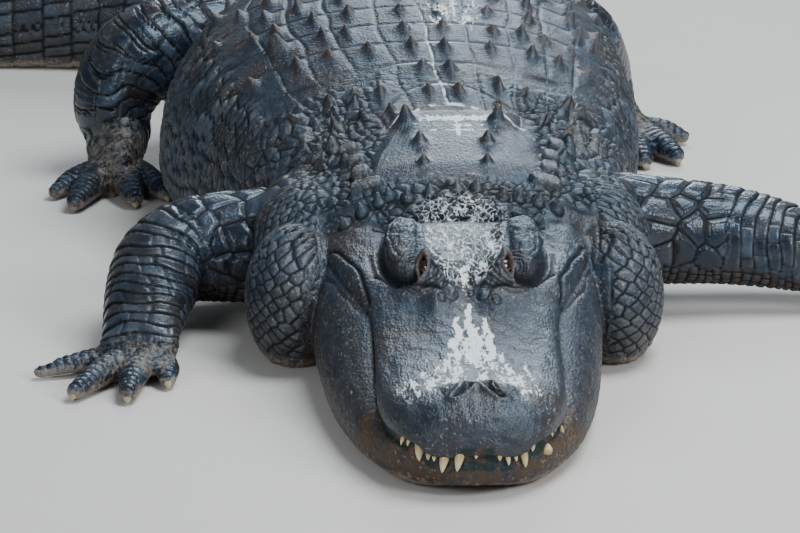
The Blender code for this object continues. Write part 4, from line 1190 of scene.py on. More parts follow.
def near_line(x, y, ax, ay, bx, by):
    """The distance to a segment, and how far along it each point is, from 0 to 1."""
    dx, dy = bx - ax, by - ay
    t = np.clip(((x - ax) * dx + (y - ay) * dy) / (dx * dx + dy * dy), 0, 1)
    return np.hypot(x - ax - t * dx, y - ay - t * dy), t


def roughen_head(skin):
    """Low bumps over the top of the head."""
    top = head_top_mask(skin)
    long = skin.rest * (1, 0.45, 1)
    skin.rise += top * (0.0007 * waves(long, 0.022, 81) + 0.0004 * waves(long, 0.009, 82))
    skin.mark(fine=skin.head * 0.05)


def head_top_mask(skin):
    return skin.head * (skin.z > hermite(HEAD, 2, skin.hs) + 0.012)


def cut_nostrils(skin):
    """A curved slit with a raised rim on each side. The slit is painted dark as shade."""
    x, s, _, _ = skin.head_place()
    top = head_top_mask(skin) * (s < 0.13)
    for sign in (-1, 1):
        bow = 0.005 * np.sin(np.clip((s - 0.052) / 0.040, 0, 1) * np.pi)
        away, _ = near_line((x - 0.002) * sign + bow, s, 0.0285, 0.056, 0.0130, 0.088)
        slit = top * bell(away, 0.0031)
        skin.rise += 0.0034 * top * bell(away - 0.0080, 0.0045) - 0.0070 * slit
        # Painted shade in the slit
        skin.mark(dark=slit)


def raise_knobs(skin):
    """Knobs in front of and between the eyes."""
    x, s, _, _ = skin.head_place()
    top = head_top_mask(skin)
    for kx, ks, size, rise in KNOBS:
        away = np.hypot(x - kx, (s - ks) * 0.6)
        skin.rise += top * rise * fade(away, 0.2 * size, size)
        skin.mark(groove=top * bell(away - size * 1.05, 0.0016) * 0.7)


def cut_mouth(skin):
    """The mouth line, and the dark inside of the mouth."""
    _, s, z, ax = skin.head_place()
    lip, half = hermite(HEAD, 2, s), hermite(HEAD, 1, s)
    gap = MOUTH_GAP / 2 * fade(s, 0.10, 0.34)
    away = np.hypot(ax - half + 0.001, z - lip + 0.002 + gap)
    end = fade(s, 0.60, 0.64)
    skin.rise -= 0.0032 * skin.head * bell(away, 0.0040) * ease(s, 0.12, 0.22) * end
    skin.mark(groove=skin.head * bell(away, 0.0034) * ease(s, 0.09, 0.16) * end)
    i = np.nonzero((np.abs(z - lip + 0.008) < 0.013) & (s < 0.36) & (ax < half))[0]
    rim = np.linspace(0, 0.38, 240)
    edge = np.stack([hermite(HEAD, 1, rim), rim], 1)
    depth = np.sqrt(((np.stack([ax[i], s[i]], 1)[:, None] - edge[None]) ** 2).sum(2).min(1))
    skin.mark(i, dark=ease(depth, 0.0018, 0.0038))


def fold_mouth_corners(skin):
    """A leaf-shaped fold at each corner of the mouth, with wrinkles across it."""
    x, s, z, _ = skin.head_place()
    x0, s0, x1, s1 = CORNER_FOLD
    wavy = 0.003 * waves(skin.rest, 0.035, 84)
    ripple = 0.5 * waves(skin.rest, 0.03, 87)
    for sign in (-1, 1):
        away, t = near_line(x * sign + wavy, s, x0, s0, x1, s1)
        snout = (x * sign - x0) * 0.180 - (s - s0) * 0.045 < 0
        wide = 0.0030 + 0.0100 * np.sin(np.pi * np.clip(t, 0, 1)) ** 0.8
        ends = ease(away, wide * 3, wide * 1.5) * (z > 0.07)
        patch = skin.head * fade(away, wide * 0.7, wide * 1.1) * ends
        cut = skin.head * bell(away - wide, 0.0024) * ends * np.where(snout, 1.0, 0.35)
        wrinkle = np.sin(2 * np.pi * (t * 0.186 / 0.012 + away / 0.012 + ripple))
        skin.rise += patch * (0.0012 + 0.0006 * wrinkle) - 0.0036 * cut
        skin.mark(groove=np.maximum(cut * 0.95, patch * ease(-wrinkle, 0.5, 1.0) * 0.40))


def detail_lobes(skin):
    """Creases under and round the lobe behind each eye, and lumps, pebbles and bent wrinkles on it."""
    x, s, z, ax = skin.head_place()
    high = skin.head * (z > TOP_FROM)
    for sign in (-1, 1):
        for x0, s0, x1, s1, deep, dark in LOBE_CREASES:
            away, _ = near_line(x * sign, s, x0, s0, x1, s1)
            crease = high * bell(away, 0.0030)
            skin.rise -= deep * crease
            skin.mark(groove=crease * dark)
    reach = lobe_reach(ax, s)
    rim = high * bell((reach - 1.05) * LOBE_REACH[1], 0.0034) * (ax > 0.062)
    skin.rise -= 0.0055 * rim
    skin.mark(groove=rim)
    clear = ease(eye_distance(ax, s), 0.024, 0.038) * ease(ax, 0.052, 0.064)
    lobe = high * clear * fade(reach, 0.90, 1.04) * ease(s, 0.42, 0.45)
    skin.rise += lobe * (0.0011 * waves(skin.rest, 0.015, 90) + 0.0005 * waves(skin.rest, 0.006, 91))
    bent = np.sin(reach * LOBE_REACH[1] / 0.0062 * 2 * np.pi + 1.8 * waves(skin.rest, 0.022, 92))
    outer = lobe * ease(reach, 0.45, 0.75) * ease(ax, 0.070, 0.084)
    skin.rise += 0.0007 * outer * bent
    skin.mark(groove=outer * ease(-bent, 0.2, 0.95) * 0.60)
    i = np.nonzero(lobe > 0.5)[0]
    edge, _ = cells(skin.rest[i], LOBE_PEBBLE_SIZE, 0.9, 93)
    skin.rise[i] += 0.0007 * (dome(edge, 0.0028) - 0.5)
    skin.mark(i, groove=bell(edge, 0.0009) * 0.38)


def eye_distance(ax, s):
    return np.hypot(ax - EYE_AT[0], (s - EYE_AT[1]) * 0.8)


def wrinkle_lids(skin):
    """Rings of wrinkles round each eye."""
    _, s, z, ax = skin.head_place()
    eye = eye_distance(ax, s)
    near = skin.head * ease(eye, 0.012, 0.018) * fade(eye, 0.022, 0.042) * (z > TOP_FROM)
    rings = np.sin(eye / 0.0052 * 2 * np.pi + 1.5 * waves(skin.rest, 0.02, 86))
    skin.rise += near * 0.0010 * rings
    skin.mark(brown=near * 0.45, groove=near * ease(-rings, 0.1, 0.9) * 0.75)


def part_head(skin):
    """The fold that parts the head from the neck and the jowls, and the edge of the skull table, both
    darkened with painted shade, patchy along the fold.
    """
    _, s, z, ax = skin.head_place()
    salt_wear_and_fold_shade = ease(waves(skin.rest, 0.045, 89), -0.6, 0.5)
    fold = bell(skin.head - 0.5, 0.30) * ease(z, 0.075, 0.110) * (s > 0.45) * (ax > 0.085)
    skin.rise -= 0.0016 * fold
    # Painted shade in the fold, stronger in patches
    skin.mark(groove=fold * (0.25 + 0.50 * salt_wear_and_fold_shade))
    edge = bell(np.abs(s - 0.606 + 0.2 * ax**2), 0.0045) * (ax < 0.115) * (z > 0.13)
    skin.rise -= 0.003 * edge
    skin.mark(groove=edge * 0.8)


def detail_jaw(skin):
    """The lower jaw's brown edge, and its own low folds."""
    _, s, z, _ = skin.head_place()
    lip = hermite(HEAD, 2, s)
    skin.mark(brown=skin.head * np.maximum(fade(z, 0.020, 0.060), (s < 0.16) * (z < lip - 0.004)))
    i = np.nonzero(skin.head * (z < lip - 0.012) > 0.5)[0]
    edge, _ = cells(skin.rest[i], JAW_FOLD_SIZE, 0.9, 88)
    skin.rise[i] += 0.0007 * (dome(edge, 0.004) - 0.5)
    skin.mark(i, groove=bell(edge, 0.0013) * 0.22)


def detail_head(skin):
    roughen_head(skin)
    cut_nostrils(skin)
    raise_knobs(skin)
    cut_mouth(skin)
    fold_mouth_corners(skin)
    detail_lobes(skin)
    wrinkle_lids(skin)
    part_head(skin)
    detail_jaw(skin)


def paint_head(skin):
    """Dried white on the snout and, as a net, on the skull table and just behind it."""
    x, s, z, ax = skin.head_place()
    up = ease(skin.normal[:, 2], 0.2, 0.6)
    wide = 0.030 + 0.016 * ease(s, 0.42, 0.50)
    table = fade(np.abs(x - 0.002), wide, wide + 0.010)
    table = table * ease(s, 0.395, 0.430) * fade(s, 0.560, 0.585)
    between = 0.7 * bell(x, 0.010) * bell(s - 0.425, 0.025)
    strokes = 0.66 * bell(x - 0.003, 0.036) * bell(s - 0.222, 0.022)
    wavy = x + 0.0025 * waves(skin.rest, 0.02, 91)
    for x0, s0, x1, s1, size in WHITE_STROKES:
        away, t = near_line(wavy, s, x0, s0, x1, s1)
        strokes = np.maximum(strokes, 0.95 * bell(away, size * (1.20 - 0.80 * t)))
    specks = 0.46 * bell(ax - 0.048, 0.042) * bell(s - 0.118, 0.050)
    specks = specks + 0.38 * bell(x, 0.07) * bell(s - 0.175, 0.04)
    neck = bell(skin.across - 0.004, 0.060) * bell(skin.s - 0.628, 0.034) * (1 - skin.head) * (z > 0.15)
    skin.crackle = np.clip(0.85 * skin.head * up * table + 0.9 * neck, 0, 1)
    return skin.head * up * np.clip(between + 0.98 * strokes + specks, 0, 1.2)


def paint_back(skin):
    """Dried white on the nape, the shoulders and the middle of the back."""
    up = ease(skin.normal[:, 2], 0.2, 0.6)
    lines = 1.1 * bell(skin.s - 0.868, 0.010)
    lines = lines + 0.62 * bell(skin.s - 0.846, 0.004) + 0.55 * bell(skin.s - 0.832, 0.003)
    stem = bell(skin.across - 0.007, 0.0024) * ease(skin.s, 0.80, 0.83) * ease(skin.s, 0.88, 0.87)
    band = bell(skin.across - 0.006, 0.048) * lines + stem
    back = 0.42 * bell(skin.across - 0.045, 0.045) * ease(skin.s, 1.10, 1.20) * fade(skin.s, 1.5, 1.7)
    shoulder = 0.30 * bell(np.abs(skin.across) - 0.190, 0.045) * bell(skin.s - 0.90, 0.08) * (1 - skin.limb)
    skin.mark(crackle=shoulder * up)
    return (band + back * up) * (1 - skin.limb) * (skin.z > BACK_FROM)


def paint(skin):
    """Dried white and brown mud where the photograph shows it."""
    white = paint_head(skin) + paint_back(skin)
    floor = fade(skin.z, 0.004, 0.030) * fade(skin.normal[:, 2], 0.5, 0.9)
    skin.mark(salt=white, mud=0.55 * floor, brown=0.55 * fade(skin.z, 0.02, 0.14) * (1 - skin.limb))
    skin.salt = np.clip(skin.salt, 0, 1.2)
    skin.mud = np.clip(skin.mud, 0, 1)
    skin.brown = np.clip(skin.brown, 0, 1)


def set_colour(mesh, name, *channels):
    """A point colour attribute from up to four arrays."""
    data = np.ones((len(mesh.vertices), 4), np.float32)
    for k, channel in enumerate(channels):
        data[:, k] = channel
    mesh.attributes.new(name, "FLOAT_COLOR", "POINT").data.foreach_set("color", data.ravel())


def set_vector(mesh, name, x, y, z):
    data = np.stack([x, y, z], 1).astype(np.float32)
    mesh.attributes.new(name, "FLOAT_VECTOR", "POINT").data.foreach_set("vector", data.ravel())


def tube_charts(skin, limbs, chart, place):
    """Unrolls each limb and digit: along it one way, round it the other."""
    quads = skin.quads
    best = np.full(len(skin.rest), np.inf)
    owner = np.full(len(skin.rest), -1)
    found = []
    for k, tube in enumerate(limbs.values()):
        i, t, angle, q = tube.locate(skin.rest)
        full = np.full((len(skin.rest), 2), np.nan)
        full[i] = np.stack([t, angle], 1)
        closer = i[q < best[i]]
        best[i] = np.minimum(best[i], q)
        owner[closer] = k
        found.append(full)
    for k, (tube, full) in enumerate(zip(limbs.values(), found)):
        faces = np.nonzero((owner[quads[:, 0]] == k) & (skin.limb[quads].mean(1) > 0.5))[0]
        corners = full[quads[faces]]
        whole = np.isfinite(corners).all((1, 2))
        faces, corners = faces[whole], corners[whole]
        angle = corners[..., 1]
        angle = np.where((np.ptp(angle, axis=1) > np.pi)[:, None] & (angle < 0), angle + 2 * np.pi, angle)
        mean = np.interp(corners[..., 0].mean(1), tube.t, (tube.half + tube.tall) / 2)
        chart[faces] = k
        place[faces] = np.stack([corners[..., 0], angle * mean[:, None]], 2)


def shelves(chart, place):
    """Lays the charts in rows and scales them into the unit square."""
    order = np.argsort(chart, kind="stable")
    names, first = np.unique(chart[order], return_index=True)
    groups = np.split(order, first[1:])
    for group in groups:
        place[group] -= place[group].min((0, 1))
    sizes = np.array([place[group].max((0, 1)) for group in groups]) + CHART_MARGIN
    ranked = np.argsort(-sizes[:, 1])
    best = None
    for wide in np.linspace(0.8, 1.4, 25) * math.sqrt(sizes.prod(1).sum()):
        x, y, row = 0.0, 0.0, 0.0
        corner = np.zeros((len(groups), 2))
        for k in ranked:
            if x and x + sizes[k, 0] > wide:
                x, y, row = 0.0, y + row, 0.0
            corner[k] = x, y
            x += sizes[k, 0]
            row = max(row, sizes[k, 1])
        reach = max((corner[:, 0] + sizes[:, 0]).max(), y + row)
        if best is None or reach < best[0]:
            best = reach, corner
    for group, corner in zip(groups, best[1]):
        place[group] += corner + CHART_MARGIN / 2
    return place / best[0]


def bake_map(skin, limbs, mesh):
    """The flat map for baked colours: the limbs and the trunk unrolled, the head and neck from six sides."""
    quads = skin.quads
    s, arc, side = skin.s[quads], skin.arc[quads], skin.side[quads]
    turned = np.where(side.sum(1) >= 0, 1.0, -1.0)[:, None]
    around = arc * np.where((arc.min(1) > 0.08)[:, None], turned, side)
    place = np.stack([s, around], 2)
    chart = 100 + np.floor(s.mean(1) / TRUNK_CHART).astype(int)
    normal = skin.normal[quads].mean(1)
    axis = np.abs(normal).argmax(1)
    boxed = np.nonzero(s.mean(1) < NECK_END)[0]
    shown = np.array([(1, 2), (0, 2), (0, 1)])[axis[boxed]]
    rest = skin.rest[quads[boxed]]
    place[boxed] = np.take_along_axis(rest, shown[:, None, :].repeat(4, 1), 2)
    toward = np.take_along_axis(normal, axis[:, None], 1)[:, 0] > 0
    neck = skin.head[quads].mean(1) < 0.5
    chart[boxed] = 200 + (axis * 2 + toward + 6 * neck)[boxed]
    tube_charts(skin, limbs, chart, place)
    layer = mesh.uv_layers.new(name="OFBake")
    layer.uv.foreach_set("vector", shelves(chart, place).astype(np.float32).ravel())


def build_skin():
    limbs = tubes()
    points, quads = joined_skin(limbs)
    smoother = Smoother(len(points), quads)
    s = points[:, 1] - SNOUT_Y
    lip = hermite(HEAD, 2, s)
    mouth = bell(points[:, 2] - lip, 0.02) * fade(s, 0.30, 0.42)
    points = smoother.relax(points, SMOOTH_ROUNDS, 0.5 * (1 - 0.7 * mouth))
    root = (bell(s - 0.86, 0.12) + bell(s - 0.62, 0.05) + bell(s - 1.82, 0.12)) * (points[:, 2] > 0.02)
    points = smoother.relax(points, JOINT_ROUNDS, 0.5 * np.clip(root, 0, 1))
    skin = Skin(points, quads)
    mark_regions(skin, limbs)
    scale_back(skin)
    scale_flanks(skin)
    scale_jowls(skin)
    fold_neck(skin)
    scale_nape(skin)
    scale_tail(skin)
    detail_head(skin)
    scale_limbs(skin, limbs)
    paint(skin)
    moved = skin.moved()
    places = [EyePlace(skin, moved, side) for side in (-1, 1)]
    for place in places:
        place.sink(moved)
    obj = mesh_object("skin", moved, quads)
    mesh = obj.data
    set_colour(mesh, "relief", skin.groove, skin.crease, skin.tone, skin.seam)
    set_colour(mesh, "stains_and_shade", skin.salt, skin.mud, skin.brown, skin.dark)
    set_colour(mesh, "kind", skin.gloss, skin.fine, skin.crackle, skin.limb)
    set_vector(mesh, "strands", skin.strands, 0 * skin.s, 0 * skin.s)
    bake_map(skin, limbs, mesh)
    mesh.shade_smooth()
    return obj, places


# Teeth, claws and eyes


def horn(root, tip, radius, bend, flat, stout):
    """Rings of a curved cone with a rounded tip, from the root's centre to the tip."""
    root, tip, bend = (np.asarray(v, float) for v in (root, tip, bend))
    ahead = (tip - root) / np.linalg.norm(tip - root)
    side = np.cross(ahead, HORN_ROLL)
    side /= np.linalg.norm(side)
    up = np.cross(side, ahead)
    a = np.linspace(0, 2 * np.pi, HORN_SIDES, endpoint=False)
    ring = np.outer(np.cos(a), side) * radius + np.outer(np.sin(a), up) * radius * flat
    rings = []
    for share in np.linspace(0, 1, HORN_ROWS) ** 0.85:
        centre = root + (tip - root) * share + bend * 4 * share * (1 - share)
        rings.append(centre + ring * (1 - share**stout) ** 0.75)
    return np.array(rings)


def horns(name, ring_sets):
    """One object from several horns, with how far each point is from its root as an attribute."""
    obj = mesh_object(name, *joined_rings(ring_sets))
    share = np.concatenate([np.repeat(np.linspace(0, 1, HORN_ROWS), HORN_SIDES), [0, 1]])
    number = np.repeat(np.arange(len(ring_sets)) * 0.618 % 1, len(share))
    set_colour(obj.data, "horn", np.tile(share, len(ring_sets)), number)
    obj.data.shade_smooth()
    return obj


def build_teeth():
    sets = []
    front = np.linspace(0.0, 0.13, 200)
    half = hermite(HEAD, 1, front)
    for x, length, radius, lean, lower in TEETH:
        s = float(np.interp(abs(x) * 1.03, half, front))
        lip = float(hermite(HEAD, 2, s))
        out = np.array([x * 0.9, -(0.115 - s) * 0.9, 0])
        out /= np.linalg.norm(out)
        edge = np.array([x, s + SNOUT_Y, lip - 0.003])
        if lower:
            root = edge - out * 0.002 + (0, 0, -0.022)
            tip = root + np.array([lean * length * 0.5, 0, length]) + out * length * 0.20
        else:
            root = edge - out * 0.0085 + (0, 0, 0.004)
            tip = edge - out * 0.0040 + np.array([lean * length * 0.6, 0, -length]) + out * length * 0.30
        sets.append(leaned(horn(root, tip, radius, out * 0.0016, 0.85, 1.6)))
    return horns("teeth", sets)


def build_claws():
    sets = []
    for _, knuckle, tip, radius, clawed in sum(DIGITS.values(), ()):
        if clawed:
            ahead = np.array(tip) - np.array(knuckle)
            ahead[2] = 0
            ahead /= np.linalg.norm(ahead)
            base = np.array(tip) - ahead * radius * 0.10
            point = base + ahead * CLAW_LENGTH
            point[2] = CLAW_FLOOR
            sets.append(horn(base, point, radius * 0.47, (0, 0, 0.0035), 0.80, 2.1))
    return horns("claws", sets)


class EyePlace:
    """Where an eye sits on the skin: its directions, and the height of the skin round it."""

    def __init__(self, skin, points, side):
        x, s = EYE_AT
        here = np.hypot(skin.hx - side * x, skin.hs - s)
        ring = np.nonzero((here < 0.007) & (points[:, 2] > CROWN_FROM))[0]
        self.at = points[ring].mean(0)
        out = np.array([side * EYE_FACING[0], EYE_FACING[1], EYE_FACING[2]])
        self.out = out / np.linalg.norm(out)
        across = np.cross(self.out, (side * 0.35, 0, 1))
        self.across = across / np.linalg.norm(across)
        self.up = np.cross(self.across, self.out)
        close = np.linalg.norm(points - self.at, axis=1) < 0.05
        near = np.nonzero(close & (skin.normal @ self.out > 0.0))[0]
        local = self.local_of(points[near])
        shell = np.abs(local[:, 2]) < 0.024
        self.near, self.local = near[shell], local[shell]
        far = np.hypot(self.local[:, 0] / EYE_OPENING[0], self.local[:, 1] / EYE_OPENING[1])
        mound = -0.0005 - 0.0080 * np.maximum(far - 1.3, 0) ** 1.3
        lift = np.maximum(mound - self.local[:, 2], 0) * fade(far, 2.2, 2.9)
        points[self.near] += lift[:, None] * self.out
        self.local[:, 2] += lift
        self.ball = self.at - self.out * (EYE_RADIUS - EYE_OUT)

    def local_of(self, points):
        off = points - self.at
        return np.stack([off @ self.across, off @ self.up, off @ self.out], 1)

    def world(self, u, v, w):
        return self.at + np.outer(u, self.across) + np.outer(v, self.up) + np.outer(w, self.out)

    def height(self, u, v):
        """The smoothed height of the skin over the eye's own plane."""
        away = (u[:, None] - self.local[None, :, 0]) ** 2 + (v[:, None] - self.local[None, :, 1]) ** 2
        w = np.exp(-away / 0.0035**2)
        return (w * self.local[None, :, 2]).sum(1) / np.maximum(w.sum(1), 1e-9)

    def ball_height(self, u, v):
        return np.sqrt(np.maximum(EYE_RADIUS**2 - u * u - v * v, 0)) - EYE_RADIUS + EYE_OUT

    def sink(self, points):
        """Takes the skin back behind the opening, so that the eye shows."""
        u, v = self.local[:, 0] / EYE_OPENING[0], self.local[:, 1] / EYE_OPENING[1]
        depth = 0.0140 * fade(np.hypot(u, v), 0.95, 1.35)
        points[self.near] -= depth[:, None] * self.out


def build_eye(place, name):
    a = np.linspace(0.02, math.radians(120), 40)
    b = np.linspace(0, 2 * np.pi, 64, endpoint=False)
    local = np.stack([
        np.outer(np.sin(a), np.cos(b)),
        np.outer(np.sin(a), np.sin(b)),
        np.repeat(np.cos(a)[:, None], 64, 1),
    ], 2)
    rings = place.ball + EYE_RADIUS * (
        local[..., :1] * place.across + local[..., 1:2] * place.up + local[..., 2:] * place.out
    )
    points, faces = closed_faces(rings, 0)
    flat = np.vstack([local.reshape(-1, 3), (0, 0, 1), local[-1].mean(0)])
    obj = mesh_object(name, points, faces)
    set_vector(obj.data, "gaze", flat[:, 0], flat[:, 1], flat[:, 2])
    obj.data.shade_smooth()
    return obj


def build_lids(place, name):
    """The beaded rim of the eye's opening, lying on the skin round it."""
    b = np.linspace(0, 2 * np.pi, 160, endpoint=False)
    rings, edge = [], []
    for k, (e, lift) in enumerate(LID_ROWS):
        bead = 0.0005 * np.sin(b * 22 + k) * bell(e - 1.07, 0.20) + 0.0004 * np.sin(b * 13 - k * 1.7)
        wave = 1 + 0.05 * np.sin(3 * b + 1.0) + 0.03 * np.sin(5 * b - k * 0.5)
        corner = 1 + 0.22 * np.abs(np.sin(b)) ** 6
        u, v = EYE_OPENING[0] * e * wave * np.cos(b), EYE_OPENING[1] * e * wave * corner * np.sin(b)
        w = place.height(u, v) + lift + bead
        w = np.where(e < 1.2, np.maximum(w, place.ball_height(u, v) + (0.0002 if e > 0.75 else -0.0015)), w)
        rings.append(place.world(u, v, w))
        edge.append(np.full(len(b), e))
    rings = np.array(rings)
    n, m = rings.shape[:2]
    i, j = np.meshgrid(np.arange(n - 1), np.arange(m), indexing="ij")
    a0, b0 = i * m + j, i * m + (j + 1) % m
    quads = np.stack([a0, b0, b0 + m, a0 + m], 2).reshape(-1, 4)
    obj = mesh_object(name, rings.reshape(-1, 3), quads)
    set_colour(obj.data, "lid", np.concatenate(edge))
    obj.data.shade_smooth()
    return obj


# Materials


class Wire:
    """An output of a node. Arithmetic on it adds Math nodes."""

    def __init__(self, graph, socket):
        self.graph = graph
        self.socket = socket

    def __add__(self, other):
        return self.graph.math("ADD", self, other)

    def __radd__(self, other):
        return self.graph.math("ADD", other, self)

    def __sub__(self, other):
        return self.graph.math("SUBTRACT", self, other)

    def __rsub__(self, other):
        return self.graph.math("SUBTRACT", other, self)

    def __mul__(self, other):
        return self.graph.math("MULTIPLY", self, other)

    def __truediv__(self, other):
        return self.graph.math("DIVIDE", self, other)


class Graph:
    """Short names for building a material's nodes."""

    def __init__(self, name):
        self.material = bpy.data.materials.new(name)
        self.material.use_nodes = True
        self.tree = self.material.node_tree
        self.shader = self.tree.nodes["Principled BSDF"]

    def add(self, kind, inputs=(), **settings):
        """A new node."""
        made = self.tree.nodes.new(kind)
        for key, value in settings.items():
            setattr(made, key, value)
        for key, value in dict(inputs).items():
            self.feed(made.inputs[key], value)
        return made

    def node(self, kind, inputs=(), output=0, **settings):
        """One output of a new node."""
        return Wire(self, self.add(kind, inputs, **settings).outputs[output])

    def feed(self, socket, value):
        if isinstance(value, Wire):
            self.tree.links.new(value.socket, socket)
        else:
            socket.default_value = value

    def math(self, operation, a, b=0.0):
        return self.node("ShaderNodeMath", {0: a, 1: b}, operation=operation)

    def most(self, a, b):
        return self.math("MAXIMUM", a, b)

    def mix(self, share, a, b):
        """A colour between a and b."""
        return self.node("ShaderNodeMix", {0: share, 6: a, 7: b}, 2, data_type="RGBA")

    def blend(self, share, a, b):
        """A number between a and b."""
        return self.node("ShaderNodeMix", {0: share, 2: a, 3: b}, data_type="FLOAT")

    def drift(self, share, a, b):
        """A vector between a and b."""
        return self.node("ShaderNodeMix", {0: share, 4: a, 5: b}, 1, data_type="VECTOR")

    def step(self, value, low, high):
        """0 below low, 1 above high, smooth between."""
        inputs = {0: value, 1: low, 2: high}
        return self.node("ShaderNodeMapRange", inputs, interpolation_type="SMOOTHSTEP")

    def place(self):
        """The object's own coordinates."""
        return self.node("ShaderNodeTexCoord", output="Object")

    def stretched(self, scale, vector=None):
        inputs = {"Vector": vector or self.place(), "Scale": scale}
        return self.node("ShaderNodeMapping", inputs)

    def noise(self, scale, detail=3.0, rough=0.55, vector=None, distortion=0.0):
        inputs = {"Scale": scale, "Detail": detail, "Roughness": rough, "Distortion": distortion}
        inputs["Vector"] = vector or self.place()
        return self.node("ShaderNodeTexNoise", inputs)

    def voronoi(self, scale, vector, feature="F1"):
        inputs = {"Scale": scale, "Vector": vector}
        return self.node("ShaderNodeTexVoronoi", inputs, "Distance", feature=feature)

    def parts(self, vector):
        """The three numbers of a vector."""
        return [Wire(self, output) for output in self.add("ShaderNodeSeparateXYZ", {0: vector}).outputs]

    def join(self, x, y, z=0.0):
        return self.node("ShaderNodeCombineXYZ", {0: x, 1: y, 2: z})

    def vector(self, name):
        """A vector attribute."""
        return self.node("ShaderNodeAttribute", output="Vector", attribute_name=name)

    def channels(self, name):
        """The four numbers of a colour attribute."""
        made = self.add("ShaderNodeAttribute", attribute_name=name)
        colour, alpha = Wire(self, made.outputs["Color"]), Wire(self, made.outputs["Alpha"])
        red, green, blue = self.add("ShaderNodeSeparateColor", {0: colour}).outputs
        return Wire(self, red), Wire(self, green), Wire(self, blue), alpha

    def bump(self, height, strength, distance):
        inputs = {"Height": height, "Strength": strength, "Distance": distance}
        return self.node("ShaderNodeBump", inputs)

    def set(self, **values):
        """Feeds the shader's own sockets, and returns the material."""
        names = {
            "colour": "Base Color",
            "roughness": "Roughness",
            "normal": "Normal",
            "coat": "Coat Weight",
            "coat_roughness": "Coat Roughness",
            "tint": "Specular Tint",
            "specular": "Specular IOR Level",
            "subsurface": "Subsurface Weight",
        }
        for key, value in values.items():
            self.feed(self.shader.inputs[names[key]], value)
        return self.material


# Where the head's grain is drawn out, and by how much. The nape's strands meet at one y.
HEAD_GRAIN_FROM = 0.72
HEAD_GRAIN_DRAWN = 0.55
STRANDS_MEET = -0.316

SLATE = (0.0100, 0.0150, 0.0230, 1)
SLATE_LIGHT = (0.040, 0.058, 0.083, 1)
# Limb colours: dark wet slate with a painted reflection of blue sky mixed in
LEG_DARK_AND_SKY_BLUE = (0.0050, 0.0105, 0.0210, 1)
LEG_LIGHT_AND_SKY_BLUE = (0.054, 0.078, 0.114, 1)
OLIVE = (0.060, 0.030, 0.008, 1)
# Near-black painted shade for grooves, creases and the eyelids' inner edge
PAINTED_CREVICE_SHADE = (0.0020, 0.0020, 0.0022, 1)
# Pale colour of the creases and seam lines, also used as painted highlight on flank bead crowns
PALE_CREASE_AND_HIGHLIGHT = (0.115, 0.112, 0.100, 1)
SALT = (0.80, 0.82, 0.81, 1)
MUD = (0.270, 0.225, 0.178, 1)
MOUTH = (0.006, 0.012, 0.008, 1)
GUM = (0.110, 0.048, 0.030, 1)
SHEEN = (0.70, 0.86, 1.0, 1)
IRIS = (0.014, 0.007, 0.004, 1)
IRIS_LIGHT = (0.055, 0.026, 0.011, 1)
EYE_RIM = (0.012, 0.008, 0.006, 1)
PUPIL = (0.001, 0.001, 0.001, 1)
LID = (0.016, 0.011, 0.010, 1)
LID_LIGHT = (0.110, 0.072, 0.058, 1)
FLOOR = (0.60, 0.565, 0.525, 1)
FLOOR_LIGHT = (0.66, 0.625, 0.585, 1)

# Teeth and claws: the colours of the tip, the root and the dirt
TOOTH_COLOURS = ((0.60, 0.52, 0.29, 1), (0.34, 0.24, 0.08, 1), (0.24, 0.17, 0.07, 1))
CLAW_COLOURS = ((0.36, 0.30, 0.19, 1), (0.12, 0.10, 0.075, 1), (0.20, 0.16, 0.12, 1))


